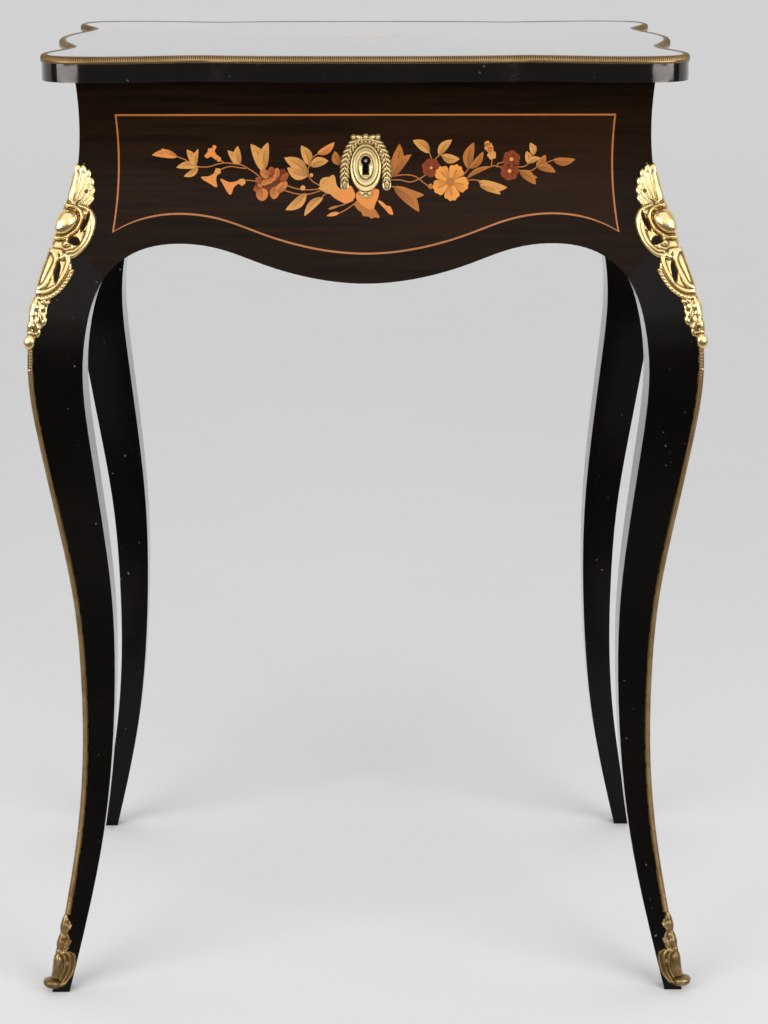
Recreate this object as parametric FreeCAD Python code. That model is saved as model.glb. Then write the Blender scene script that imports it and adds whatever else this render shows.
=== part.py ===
"""Lift-top dressing table on four cabriole legs.

An ebonised case with shaped aprons carries a hinged lid that has a mirror on its underside.
The front corners carry gilt brass mounts, the front is inlaid and holds the lock.

Frame: millimetres, +Z up, the front faces -Y and the sitter's right hand is at +X.
The origin is on the floor, under the middle of the case.
"""
import FreeCAD, Part
import os

V = FreeCAD.Vector

# Driving sizes of the whole table
TABLE_HEIGHT = 750.0
LID_EAR_WIDTH = 489.0
LID_EAR_DEPTH = 358.0
LID_THICKNESS = 19.0
LID_GAP = 1.0
LID_OVERHANG = 25.5

# Legs and the profile that the legs and the aprons share
KNEE_REACH = 37.5
KNEE_WIDTH = 40.6
POST_WIDTH = 42.0
CORNER_SHARES = ((1.0, 0.0), (0.955, -0.053), (0.877, 0.133), (0.837, 0.413), (0.777, 0.827))
LEG_SHARES = (
    (0.7055, 1.0, 1.0),
    (0.629, 0.853, 0.936),
    (0.536, 0.560, 0.837),
    (0.4425, 0.299, 0.722),
    (0.349, 0.203, 0.630),
    (0.256, 0.229, 0.545),
    (0.167, 0.395, 0.488),
    (0.078, 0.693, 0.426),
    (0.0, 0.987, 0.345),
)
REAR_FOOT_PULL = 6.7
REAR_PULL_SHARES = (0.0, 0.15, 0.33, 0.45, 0.52, 0.60, 0.72, 0.87, 1.0)
SPANDREL_SHARES = ((0.185, 0.7575), (0.438, 0.7966))
ARCH_SHARES = (
    (1.0, 0.8247), (0.81, 0.8342), (0.616, 0.8282), (0.446, 0.8141), (0.27, 0.8020), (0.0, 0.7945),
)

# Aprons and their joints
APRON_THICKNESS = 20.0
TENON_THICKNESS = 8.0
TENON_LENGTH = 18.0
TENON_TOP_DROP = 14.0
TENON_HEIGHT = 70.0
TENON_CLEARANCE = 0.1

# Face veneers and the boxwood stringing let into them
VENEER = 1.0
MITRE_LOW_SHARE = 0.770
STRING_WIDTH = 1.4
STRING_TOP_DROP = 25.0
STRING_SIDE_MARGIN = 29.0
STRING_WAIST_PULL = 1.5
STRING_FOOT_SPREAD = 3.0
STRING_FOOT_SHARE = 0.845
STRING_RISE = 21.0

# Bottom of the case and its partitions
BOTTOM_THICKNESS = 8.0
BOTTOM_CLEARANCE = 0.3
BEARER_WIDTH = 14.0
BEARER_HEIGHT = 9.0
BEARER_DROP = 117.0
PARTITION_THICKNESS = 6.0
PARTITION_HEIGHT = 62.0
PARTITION_SHARE = 0.47

# Lid outline, rim and mirror
EAR_RADIUS = 30.0
EAR_CORNER_SHARE = 0.29
FRONT_MIDDLE_DROP = 2.5
FRONT_DIP = 9.0
FRONT_DIP_SHARE = 0.57
SIDE_MIDDLE_SWELL = 1.5
SIDE_DIP = 13.5
SIDE_DIP_RUN = 77.0
RIM_WIDTH = 5.0
RIM_HEIGHT = 5.0
RIM_PROUD = 0.5
RIM_SINK = 0.2
RIM_ROUND = 3.0
MIRROR_LENGTH = 330.0
MIRROR_DEPTH = 240.0
MIRROR_THICKNESS = 3.0
MIRROR_CLEARANCE = 0.3
FRAME_WIDTH = 12.0
FRAME_HEIGHT = 6.0
FRAME_LAP = 3.0
FRAME_CHAMFER = 4.0

# Hinges and wood screws
HINGE_LENGTH = 50.0
HINGE_SPACING = 260.0
HINGE_LEAF = 1.5
HINGE_LEAF_REACH = 15.0
KNUCKLE_RADIUS = 3.5
KNUCKLE_OFFSET = 4.0
KNUCKLE_GAP = 0.3
KNUCKLE_ROOM = 0.7
HINGE_PIN_RADIUS = 1.6
HINGE_PIN_CLEARANCE = 0.1
SCREW_HEAD_RADIUS = 2.6
SCREW_HEAD_DEPTH = 1.2
SCREW_SHANK_RADIUS = 1.3
SCREW_LENGTH = 9.0
HINGE_SCREW_SPREAD = 34.0
HINGE_SCREW_INSET = 8.0

# Lock, bolt, strike plate and keyhole
LOCK_WIDTH = 60.0
LOCK_DEPTH = 12.0
LOCK_HEIGHT = 80.0
LOCK_WALL = 1.5
SELVEDGE_WIDTH = 78.0
SELVEDGE_DEPTH = 16.0
SELVEDGE_THICKNESS = 2.0
SELVEDGE_SCREW_SPREAD = 69.0
KEYHOLE_DROP = 60.5
KEYHOLE_RADIUS = 3.2
KEYHOLE_SLOT = 3.8
KEYHOLE_LENGTH = 9.9
DRILL_PIN_RADIUS = 1.3
DRILL_PIN_SINK = 2.0
STAPLE_THICKNESS = 4.0
STAPLE_DEPTH = 7.0
STAPLE_LENGTH = 13.0
STAPLE_EYE_DEPTH = 4.0
STAPLE_EYE_HEIGHT = 5.2
STAPLE_EYE_DROP = 5.0
STAPLE_ROOM = 1.0
STRIKE_WIDTH = 50.0
STRIKE_DEPTH = 12.0
STRIKE_THICKNESS = 2.0
STRIKE_SCREW_SPREAD = 38.0
BOLT_CLEARANCE = 0.3
BOLT_START = 2.0
BOLT_LENGTH = 10.0
BOLT_TAIL_LENGTH = 13.0
BOLT_TAIL_HEIGHT = 9.0

# Gilt brass mounts on the front corners
MOUNT_THICKNESS = 3.2
CHUTE_TOP_SHARE = 0.918
CHUTE_LENGTH = 136.0
CHUTE_WIDTH = 29.0
CHUTE_SHARES = (
    (0.0, 0.12), (0.065, 0.53), (0.124, 0.63), (0.205, 0.66), (0.29, 0.95), (0.365, 1.0), (0.44, 0.92),
    (0.51, 0.58), (0.57, 0.80), (0.63, 0.78), (0.74, 0.46), (0.86, 0.43), (0.91, 0.24), (1.0, 0.12),
)
CHUTE_PIERCING_SHARES = ((0.27, 0.60, 0.05, 0.16), (0.40, 0.62, 0.07, 0.20), (0.60, 0.48, 0.07, 0.16))
STRIP_WIDTH = 4.0
STRIP_THICKNESS = 1.2
STRIP_GAP = 0.5
SABOT_HEIGHT = 58.0
SABOT_LIFT = 4.0
SABOT_WIDTH = 15.0
SABOT_SHARES = (
    (0.0, 0.10), (0.13, 0.46), (0.21, 0.32), (0.33, 0.58), (0.45, 0.42), (0.57, 0.86),
    (0.71, 0.93), (0.85, 0.86), (1.0, 0.55),
)
TOE_RADIUS = 4.2
TOE_REACH = 4.6
TOE_LENGTH = 9.0
MOUNT_PIN_RADIUS = 1.0
MOUNT_PIN_HEAD_RADIUS = 1.6
MOUNT_PIN_LENGTH = 8.0
MOUNT_PIN_HEAD = 0.7
CHUTE_PIN_SHARES = ((0.165, 0.34), (0.49, 0.30), (0.80, 0.24))
SABOT_PIN_SHARES = ((0.64, 0.55),)

# Keyhole escutcheon
WREATH_WIDTH = 39.6
WREATH_HEIGHT = 40.0
WREATH_DROP = 4.5
WREATH_THICKNESS = 2.6
BOSS_WIDTH = 25.0
BOSS_HEIGHT = 37.0
BOSS_DROP = 7.0
BOSS_THICKNESS = 4.6
CREST_WIDTH = 24.0
CREST_HEIGHT = 9.0
CREST_LIFT = 16.5
FINIAL_SIZE = 8.0
FINIAL_DROP = 24.0
ESCUTCHEON_PIN_SPREAD = 32.0

# One overrun for every cut, and the halvings that find a point of the corner profile
OVERRUN = 5.0
HALVINGS = 40

# Sizes that follow from those above
CASE_TOP = TABLE_HEIGHT - LID_THICKNESS - LID_GAP
LID_UNDERSIDE = CASE_TOP + LID_GAP
HALF_WIDTH = LID_EAR_WIDTH / 2 - LID_OVERHANG
HALF_DEPTH = LID_EAR_DEPTH / 2 - LID_OVERHANG
FAR = LID_EAR_WIDTH
INNER_X = HALF_WIDTH - APRON_THICKNESS
INNER_Y = HALF_DEPTH - APRON_THICKNESS
BOTTOM_TOP = CASE_TOP - BEARER_DROP + BEARER_HEIGHT + BOTTOM_THICKNESS
HINGE_AXIS_Y = HALF_DEPTH + KNUCKLE_OFFSET
HINGE_AXIS_Z = CASE_TOP + LID_GAP / 2
KEYHOLE_Z = CASE_TOP - KEYHOLE_DROP
LOCK_MIDDLE_Y = -(INNER_Y + LOCK_DEPTH / 2)
SABOT_TOP = SABOT_LIFT + SABOT_HEIGHT
CHUTE_TOP = CHUTE_TOP_SHARE * CASE_TOP
HINGE_MIDDLES = (-HINGE_SPACING / 2, HINGE_SPACING / 2)

# The rear legs stand a little closer together than the front ones
REAR_LEG_SHARES = tuple(
    (height, reach - pull * REAR_FOOT_PULL / KNEE_REACH, width)
    for (height, reach, width), pull in zip(LEG_SHARES, REAR_PULL_SHARES)
)


# Shape helpers

def line(a, b):
    return Part.LineSegment(V(a[0], 0, a[1]), V(b[0], 0, b[1])).toShape()


def curve(points):
    """A smooth curve through (x, z) points in the plane y = 0."""
    spline = Part.BSplineCurve()
    spline.interpolate([V(x, 0, z) for x, z in points])
    return spline.toShape()


def face(*edges):
    return Part.Face(Part.Wire(Part.__sortEdges__(list(edges))))


def polygon(points):
    closed = list(points) + [points[0]]
    return face(*[line(a, b) for a, b in zip(closed, closed[1:])])


def along_y(flat, start, end):
    return flat.translated(V(0, start, 0)).extrude(V(0, end - start, 0))


def box(low, high):
    size = [b - a for a, b in zip(low, high)]
    return Part.makeBox(*size, V(*low))


def cylinder(radius, start, end):
    reach = V(*end) - V(*start)
    return Part.makeCylinder(radius, reach.Length, V(*start), reach)


def ellipse(width, height, middle):
    """A flat ellipse in the plane y = 0, about (x, z)."""
    tall = height > width
    major, minor = (height / 2, width / 2) if tall else (width / 2, height / 2)
    outline = Part.Ellipse(V(), major, minor)
    flat = Part.Face(Part.Wire(outline.toShape()))
    flat.rotate(V(), V(1, 0, 0), 90)
    if tall:
        flat.rotate(V(), V(0, 1, 0), 90)
    return flat.translated(V(middle[0], 0, middle[1]))


def quarter_turned(shape):
    """The same shape with its front moved round to the right-hand side."""
    return shape.rotated(V(), V(0, 0, 1), 90)


def left_of(shape):
    return shape.mirror(V(), V(1, 0, 0))


def front_of(shape):
    return shape.mirror(V(), V(0, 1, 0))


def joined(*shapes):
    result = shapes[0]
    for shape in shapes[1:]:
        result = result.fuse(shape)
    return result.removeSplitter()


def export(name, *shapes):
    solids = [solid for shape in shapes for solid in shape.Solids]
    made = solids[0] if len(solids) == 1 else Part.makeCompound(solids)
    made.exportStep(os.path.join("parts", name + ".step"))
    state = "" if all(s.isValid() for s in solids) else "  NOT VALID"
    print(f"{name}: {len(solids)} solid(s), {sum(s.Volume for s in solids):.1f} mm3{state}")


# Profiles shared by the legs, aprons, veneers and mounts

def corner_points(half_span, legs=LEG_SHARES):
    """The outer profile of a corner from the case top to the floor, as (x, z)."""
    rows = CORNER_SHARES + tuple(row[:2] for row in legs)
    return [(half_span + reach * KNEE_REACH, height * CASE_TOP) for height, reach in rows]


def mirrored_points(points):
    return [(-x, z) for x, z in points]


def body_profile(left_span, right_span):
    """The front view of the whole body: both corner profiles, the floor line and the top line."""
    right = corner_points(right_span)
    left = mirrored_points(corner_points(left_span))
    return face(curve(right), line(right[-1], left[-1]), curve(left), line(left[0], right[0]))


def corner_profile(half_span, inner, legs=LEG_SHARES):
    """The front view of one right-hand corner, from the line x = inner to the outer profile."""
    outer = corner_points(half_span, legs)
    foot = (inner, outer[-1][1])
    top = (inner, outer[0][1])
    return face(curve(outer), line(outer[-1], foot), line(foot, top), line(top, outer[0]))


def knee_curve_points(half_span, legs):
    """The right half of the open space's edge, from the foot up and along the apron to the middle."""
    leg = [
        (half_span + reach * KNEE_REACH - width * KNEE_WIDTH, height * CASE_TOP)
        for height, reach, width in reversed(legs)
    ]
    spandrel = [(half_span - inset * POST_WIDTH, height * CASE_TOP) for inset, height in SPANDREL_SHARES]
    arch = [(share * (half_span - POST_WIDTH), height * CASE_TOP) for share, height in ARCH_SHARES]
    return leg + spandrel + arch


def knee_space(half_span, left_legs, right_legs):
    """The open space between two legs and under the apron, seen from the front."""
    right = knee_curve_points(half_span, right_legs)
    left = mirrored_points(knee_curve_points(half_span, left_legs))
    whole = right + left[:-1][::-1]
    below = [(right[0][0], -OVERRUN), (left[0][0], -OVERRUN)]
    return face(
        curve(whole),
        line(whole[-1], below[1]),
        line(below[1], below[0]),
        line(below[0], whole[0]),
    )


# Veneer on the front and on the two sides

def veneer_zone(half_span):
    """What the veneer covers in front view: down to a mitre on each leg."""
    low = MITRE_LOW_SHARE * CASE_TOP
    inner = half_span - POST_WIDTH
    outer = half_span + KNEE_REACH
    high = low + outer - inner
    top = CASE_TOP + OVERRUN
    return polygon([(inner, low), (outer, high), (outer, top), (-outer, top), (-outer, high), (-inner, low)])


def veneer_cutter(half_span, half_across):
    """Everything in front of the ground that the veneer is glued to."""
    zone = along_y(veneer_zone(half_span), -FAR, 0)
    ground = quarter_turned(along_y(body_profile(half_across - VENEER, half_across - VENEER), -FAR, FAR))
    return zone.cut(ground)


def veneer_sheet(half_span, half_across, near_trim, right_legs):
    """The bent sheet of veneer itself, on a face that looks along -Y."""
    outline = along_y(body_profile(half_span - near_trim, half_span), -FAR, 0)
    outer = quarter_turned(along_y(body_profile(half_across, half_across), -FAR, FAR))
    sheet = veneer_cutter(half_span, half_across).common(outline).common(outer)
    return sheet.cut(along_y(knee_space(half_span, LEG_SHARES, right_legs), -FAR, FAR))


def stringing_edges(half_span, inset):
    """The edges of the inlaid line's outer outline, or of its inner one when inset by the line's width."""
    top = CASE_TOP - STRING_TOP_DROP - inset
    side = half_span - STRING_SIDE_MARGIN - inset
    waist = side - STRING_WAIST_PULL
    foot = (side + STRING_FOOT_SPREAD, STRING_FOOT_SHARE * CASE_TOP + inset)
    middle = (top + foot[1]) / 2
    arch = [(share * (half_span - POST_WIDTH), height * CASE_TOP + STRING_RISE + inset)
            for share, height in ARCH_SHARES[1:]]
    right = [foot] + arch
    lower = curve(right + mirrored_points(right[:-1])[::-1])
    flank = [(side, top), (waist, middle), foot]
    return [line((-side, top), (side, top)), curve(flank), lower, curve(mirrored_points(flank))]


def stringing_frame(half_span):
    outer = face(*stringing_edges(half_span, 0))
    inner = face(*stringing_edges(half_span, STRING_WIDTH))
    return along_y(outer, -FAR, 0).cut(along_y(inner, -FAR, 0))


def veneered_face(half_span, half_across, near_trim, right_legs):
    """The border, the inlaid line and the panel of one veneered face."""
    sheet = veneer_sheet(half_span, half_across, near_trim, right_legs)
    frame = stringing_frame(half_span)
    inside = along_y(face(*stringing_edges(half_span, STRING_WIDTH)), -FAR, 0)
    outside = along_y(face(*stringing_edges(half_span, 0)), -FAR, 0)
    return sheet.cut(outside), sheet.common(frame), sheet.common(inside)


FRONT_CUTTER = veneer_cutter(HALF_WIDTH, HALF_DEPTH)
RIGHT_CUTTER = quarter_turned(veneer_cutter(HALF_DEPTH, HALF_WIDTH))


# Tenons of the aprons, and the mortises that they leave in the posts

def tenon(half_span, half_across, clearance):
    """Right-hand tenon of an apron whose face looks along -Y."""
    post = half_span - POST_WIDTH
    middle = -(half_across - APRON_THICKNESS / 2)
    half = TENON_THICKNESS / 2 + clearance
    top = CASE_TOP - TENON_TOP_DROP + clearance
    low = CASE_TOP - TENON_TOP_DROP - TENON_HEIGHT - clearance
    return box((post, middle - half, low), (post + TENON_LENGTH + clearance, middle + half, top))


def leg_blank(legs, next_legs):
    """A leg as it leaves the saw, set at the rear right corner, with its two mortises.

    The first shares are its own, the second those of the leg on the same side of the table.
    """
    outer_x = along_y(corner_profile(HALF_WIDTH, HALF_WIDTH - POST_WIDTH, legs), 0, FAR)
    outer_y = quarter_turned(along_y(corner_profile(HALF_DEPTH, HALF_DEPTH - POST_WIDTH, legs), -FAR, 0))
    across = along_y(knee_space(HALF_WIDTH, legs, legs), -FAR, FAR)
    beside = quarter_turned(along_y(knee_space(HALF_DEPTH, next_legs, legs), -FAR, FAR))
    blank = outer_x.common(outer_y).cut(across).cut(beside)
    blank = blank.cut(front_of(tenon(HALF_WIDTH, HALF_DEPTH, TENON_CLEARANCE)))
    return blank.cut(quarter_turned(tenon(HALF_DEPTH, HALF_WIDTH, TENON_CLEARANCE)))


def apron_blank(half_span, half_across, left_legs, right_legs):
    """An apron with its two tenons, its face along -Y and still without any other cut."""
    post = half_span - POST_WIDTH
    section = corner_profile(half_across, half_across - APRON_THICKNESS)
    slab = front_of(quarter_turned(along_y(section, -post, post)))
    slab = slab.cut(along_y(knee_space(half_span, left_legs, right_legs), -FAR, FAR))
    right = tenon(half_span, half_across, 0)
    return joined(slab, right, left_of(right))


# Mounts that wrap the front right corner

def reach_at(height):
    """How far the outer profile stands beyond the case corner at a height."""
    profile = Part.BSplineCurve()
    profile.interpolate([V(x, 0, z) for x, z in corner_points(0)])
    upper, lower = profile.FirstParameter, profile.LastParameter
    for _ in range(HALVINGS):
        middle = (upper + lower) / 2
        if profile.value(middle).z > height:
            upper = middle
        else:
            lower = middle
    return profile.value(upper).x


def both_ways(make_flat):
    """What a flat outline keeps of the front right corner, sawn from the front and from the side."""
    from_front = along_y(make_flat(HALF_WIDTH), -FAR, 0)
    from_side = front_of(quarter_turned(along_y(make_flat(HALF_DEPTH), -FAR, 0)))
    return from_front.common(from_side)


def corner_core():
    return both_ways(lambda span: corner_profile(span, span - POST_WIDTH))


def corner_shell(thickness):
    """The skin of this thickness on the two outer faces of the corner."""
    return both_ways(lambda span: corner_profile(span + thickness, span - POST_WIDTH)).cut(corner_core())


def mount_outline(half_span, top, height, width, shares):
    """Everything outside a mount's inner edge, between the mount's two ends."""
    edge = []
    for down, across in shares:
        level = top - down * height
        edge.append((half_span + reach_at(level) - across * width, level))
    low = (FAR, edge[-1][1])
    high = (FAR, edge[0][1])
    return face(curve(edge), line(edge[-1], low), line(low, high), line(high, edge[0]))


def mount_blank(top, height, width, shares):
    return corner_shell(MOUNT_THICKNESS).common(
        both_ways(lambda span: mount_outline(span, top, height, width, shares)))


def side_copy(shape):
    """The copy on the side face of something that is set on the front face of the front right corner."""
    shift = HALF_WIDTH - HALF_DEPTH
    turned = front_of(quarter_turned(shape.translated(V(0, -shift, 0))))
    return turned.translated(V(0, shift, 0))


def mount_place(top, height, width, down, across):
    """Where a share down and a share across a mount lies on the front face: x, y of the wood, z."""
    level = top - down * height
    reach = reach_at(level)
    return HALF_WIDTH + reach - across * width, -(HALF_DEPTH + reach), level


def piercing(down, across, tall, wide):
    x, _, z = mount_place(CHUTE_TOP, CHUTE_LENGTH, CHUTE_WIDTH, down, across)
    return along_y(ellipse(wide * CHUTE_WIDTH, tall * CHUTE_LENGTH, (x, z)), -FAR, 0)


def mount_pin(x, y, z):
    """A round-headed pin through a mount on the front face."""
    front = y - MOUNT_THICKNESS - MOUNT_PIN_HEAD
    head = cylinder(MOUNT_PIN_HEAD_RADIUS, (x, front, z), (x, y - MOUNT_THICKNESS / 2, z))
    shank = cylinder(MOUNT_PIN_RADIUS, (x, front, z), (x, front + MOUNT_PIN_LENGTH, z))
    return joined(head, shank)


def mount_pins():
    """All the pins of the right-hand chute and sabot."""
    places = [mount_place(CHUTE_TOP, CHUTE_LENGTH, CHUTE_WIDTH, *share) for share in CHUTE_PIN_SHARES]
    places += [mount_place(SABOT_TOP, SABOT_HEIGHT, SABOT_WIDTH, *share) for share in SABOT_PIN_SHARES]
    front = [mount_pin(*place) for place in places]
    return front + [side_copy(pin) for pin in front]


def chute():
    """Pierced corner mount below the lid, wrapped round the knee's sharp edge."""
    blank = mount_blank(CHUTE_TOP, CHUTE_LENGTH, CHUTE_WIDTH, CHUTE_SHARES)
    for shares in CHUTE_PIERCING_SHARES:
        hole = piercing(*shares)
        blank = blank.cut(hole).cut(side_copy(hole))
    return blank


def sabot():
    """Foot mount with a curled toe."""
    blank = mount_blank(SABOT_TOP, SABOT_HEIGHT, SABOT_WIDTH, SABOT_SHARES)
    level = SABOT_LIFT + TOE_RADIUS
    reach = reach_at(level) + TOE_REACH
    middle = V(HALF_WIDTH + reach, -(HALF_DEPTH + reach), level)
    half = V(1, 1, 0).normalize() * (TOE_LENGTH / 2)
    toe = cylinder(TOE_RADIUS, middle - half, middle + half).cut(corner_core())
    return joined(blank, toe)


def arris_strip():
    """Brass angle on the leg's sharp front edge, between the chute and the sabot."""
    def band(span):
        outer = corner_points(span + STRIP_THICKNESS)
        inner = corner_points(span - STRIP_WIDTH)
        return face(curve(outer), line(outer[-1], inner[-1]), curve(inner), line(inner[0], outer[0]))
    low = SABOT_TOP + STRIP_GAP
    high = CHUTE_TOP - CHUTE_LENGTH - STRIP_GAP
    length = box((0, -FAR, low), (FAR, 0, high))
    return both_ways(band).cut(corner_core()).common(length)


# Escutcheon and keyhole

def front_shell(thickness):
    """The skin of this thickness on the curved front face."""
    grown = body_profile(HALF_DEPTH + thickness, HALF_DEPTH + thickness)
    return quarter_turned(along_y(grown, -FAR, FAR)).cut(
        quarter_turned(along_y(body_profile(HALF_DEPTH, HALF_DEPTH), -FAR, FAR)))


def keyhole():
    """The cut of the keyhole from the front into the middle of the lock."""
    bow = cylinder(KEYHOLE_RADIUS, (0, -FAR, KEYHOLE_Z), (0, LOCK_MIDDLE_Y, KEYHOLE_Z))
    half = KEYHOLE_SLOT / 2
    slot = box((-half, -FAR, KEYHOLE_Z - KEYHOLE_LENGTH), (half, LOCK_MIDDLE_Y, KEYHOLE_Z))
    return joined(bow, slot)


def escutcheon_pins():
    level = KEYHOLE_Z - WREATH_DROP
    y = -(HALF_DEPTH + reach_at(level)) + MOUNT_THICKNESS - WREATH_THICKNESS
    right = mount_pin(ESCUTCHEON_PIN_SPREAD / 2, y, level)
    return [right, left_of(right)]


def escutcheon():
    thin = front_shell(WREATH_THICKNESS)
    wreath = ellipse(WREATH_WIDTH, WREATH_HEIGHT, (0, KEYHOLE_Z - WREATH_DROP))
    crest = ellipse(CREST_WIDTH, CREST_HEIGHT, (0, KEYHOLE_Z + CREST_LIFT))
    finial = ellipse(FINIAL_SIZE, FINIAL_SIZE, (0, KEYHOLE_Z - FINIAL_DROP))
    boss = ellipse(BOSS_WIDTH, BOSS_HEIGHT, (0, KEYHOLE_Z - BOSS_DROP))
    flat = joined(*[along_y(piece, -FAR, 0) for piece in (wreath, crest, finial)])
    raised = front_shell(BOSS_THICKNESS).common(along_y(boss, -FAR, 0))
    return joined(thin.common(flat), raised).cut(keyhole())


# Lock in the front apron

def lock_box(clearance):
    """The outside of the lock's case with its selvedge, or the recess for it."""
    half = LOCK_WIDTH / 2 + clearance
    front = -(INNER_Y + LOCK_DEPTH + clearance)
    low = CASE_TOP - LOCK_HEIGHT - clearance
    case = box((-half, front, low), (half, -INNER_Y, CASE_TOP))
    wing = SELVEDGE_WIDTH / 2 + clearance
    edge = -(INNER_Y + SELVEDGE_DEPTH + clearance)
    selvedge = box((-wing, edge, CASE_TOP - SELVEDGE_THICKNESS), (wing, -INNER_Y, CASE_TOP))
    return joined(case, selvedge)


def lock_case():
    half = LOCK_WIDTH / 2 - LOCK_WALL
    front = -(INNER_Y + LOCK_DEPTH - LOCK_WALL)
    low = CASE_TOP - LOCK_HEIGHT + LOCK_WALL
    hollow = box((-half, front, low), (half, -(INNER_Y + LOCK_WALL), CASE_TOP - SELVEDGE_THICKNESS))
    across = STAPLE_THICKNESS / 2 + STAPLE_ROOM
    along = STAPLE_DEPTH / 2 + STAPLE_ROOM
    slot = box((-across, LOCK_MIDDLE_Y - along, CASE_TOP - SELVEDGE_THICKNESS - OVERRUN),
               (across, LOCK_MIDDLE_Y + along, CASE_TOP + OVERRUN))
    return lock_box(0).cut(hollow).cut(slot).cut(keyhole())


def drill_pin():
    """The pin that the hollow key turns on; its tip shows in the keyhole."""
    back = -(INNER_Y + LOCK_WALL)
    tip = -(HALF_DEPTH - DRILL_PIN_SINK)
    return cylinder(DRILL_PIN_RADIUS, (0, back, KEYHOLE_Z), (0, tip, KEYHOLE_Z))


def lock_bolt():
    """The bolt drawn back: its bar enters the staple's eye when it is thrown along -X."""
    start = STAPLE_THICKNESS / 2 + BOLT_START
    shoulder = start + BOLT_LENGTH
    half_bar = STAPLE_EYE_DEPTH / 2 - BOLT_CLEARANCE
    eye_top = LID_UNDERSIDE - STAPLE_EYE_DROP
    bar = box((start, LOCK_MIDDLE_Y - half_bar, eye_top - STAPLE_EYE_HEIGHT + BOLT_CLEARANCE),
              (shoulder, LOCK_MIDDLE_Y + half_bar, eye_top - BOLT_CLEARANCE))
    half_tail = LOCK_DEPTH / 2 - LOCK_WALL - BOLT_CLEARANCE
    tail_top = CASE_TOP - SELVEDGE_THICKNESS - BOLT_CLEARANCE
    tail = box((shoulder, LOCK_MIDDLE_Y - half_tail, tail_top - BOLT_TAIL_HEIGHT),
               (shoulder + BOLT_TAIL_LENGTH, LOCK_MIDDLE_Y + half_tail, tail_top))
    return joined(bar, tail)


def strike_plate():
    """Plate in the lid with the staple that drops into the lock."""
    half = STRIKE_WIDTH / 2
    plate = box((-half, LOCK_MIDDLE_Y - STRIKE_DEPTH / 2, LID_UNDERSIDE),
                (half, LOCK_MIDDLE_Y + STRIKE_DEPTH / 2, LID_UNDERSIDE + STRIKE_THICKNESS))
    side = STAPLE_THICKNESS / 2
    loop = box((-side, LOCK_MIDDLE_Y - STAPLE_DEPTH / 2, LID_UNDERSIDE - STAPLE_LENGTH),
               (side, LOCK_MIDDLE_Y + STAPLE_DEPTH / 2, LID_UNDERSIDE))
    eye_top = LID_UNDERSIDE - STAPLE_EYE_DROP
    eye = box((-half, LOCK_MIDDLE_Y - STAPLE_EYE_DEPTH / 2, eye_top - STAPLE_EYE_HEIGHT),
              (half, LOCK_MIDDLE_Y + STAPLE_EYE_DEPTH / 2, eye_top))
    return joined(plate, loop.cut(eye))


def screw(x, y, face_level, inward):
    """A flush wood screw that enters a level face along +Z or -Z."""
    neck = face_level + inward * SCREW_HEAD_DEPTH
    tip = face_level + inward * SCREW_LENGTH
    head = cylinder(SCREW_HEAD_RADIUS, (x, y, face_level), (x, y, neck))
    return joined(head, cylinder(SCREW_SHANK_RADIUS, (x, y, neck), (x, y, tip)))


def screw_pair(middle, y, spread, face_level, inward):
    return [screw(middle + side * spread / 2, y, face_level, inward) for side in (-1, 1)]


# Hinges at the back of the case

def knuckle(start, end, radius):
    return cylinder(radius, (start, HINGE_AXIS_Y, HINGE_AXIS_Z), (end, HINGE_AXIS_Y, HINGE_AXIS_Z))


def hinge_room(middle):
    """The room that the knuckles need in the lid and in the case."""
    half = HINGE_LENGTH / 2 + KNUCKLE_GAP
    return knuckle(middle - half, middle + half, KNUCKLE_RADIUS + KNUCKLE_ROOM)


def hinge_plate(middle, low):
    half = HINGE_LENGTH / 2
    return box((middle - half, HALF_DEPTH - HINGE_LEAF_REACH, low),
               (middle + half, HINGE_AXIS_Y, low + HINGE_LEAF))


def hinge_case_leaf(middle):
    """The leaf let into the case, with the two outer knuckles."""
    half = HINGE_LENGTH / 2
    third = HINGE_LENGTH / 6
    plate = hinge_plate(middle, CASE_TOP - HINGE_LEAF)
    plate = plate.cut(knuckle(middle - third - KNUCKLE_GAP, middle + third + KNUCKLE_GAP,
                              KNUCKLE_RADIUS + KNUCKLE_ROOM))
    leaf = joined(plate, knuckle(middle - half, middle - third, KNUCKLE_RADIUS),
                  knuckle(middle + third, middle + half, KNUCKLE_RADIUS))
    return leaf.cut(knuckle(middle - half, middle + half, HINGE_PIN_RADIUS))


def hinge_lid_leaf(middle):
    """The leaf let into the lid, with the middle knuckle."""
    half = HINGE_LENGTH / 2
    third = HINGE_LENGTH / 6
    plate = hinge_plate(middle, LID_UNDERSIDE)
    for side in (-1, 1):
        near = middle + side * (third - KNUCKLE_GAP)
        far = middle + side * (half + KNUCKLE_GAP)
        plate = plate.cut(knuckle(near, far, KNUCKLE_RADIUS + KNUCKLE_ROOM))
    barrel = knuckle(middle - third + KNUCKLE_GAP, middle + third - KNUCKLE_GAP, KNUCKLE_RADIUS)
    return joined(plate, barrel).cut(
        knuckle(middle - half, middle + half, HINGE_PIN_RADIUS + HINGE_PIN_CLEARANCE))


def hinge_pin(middle):
    half = HINGE_LENGTH / 2
    return knuckle(middle - half, middle + half, HINGE_PIN_RADIUS)


# Inside of the case

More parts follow.
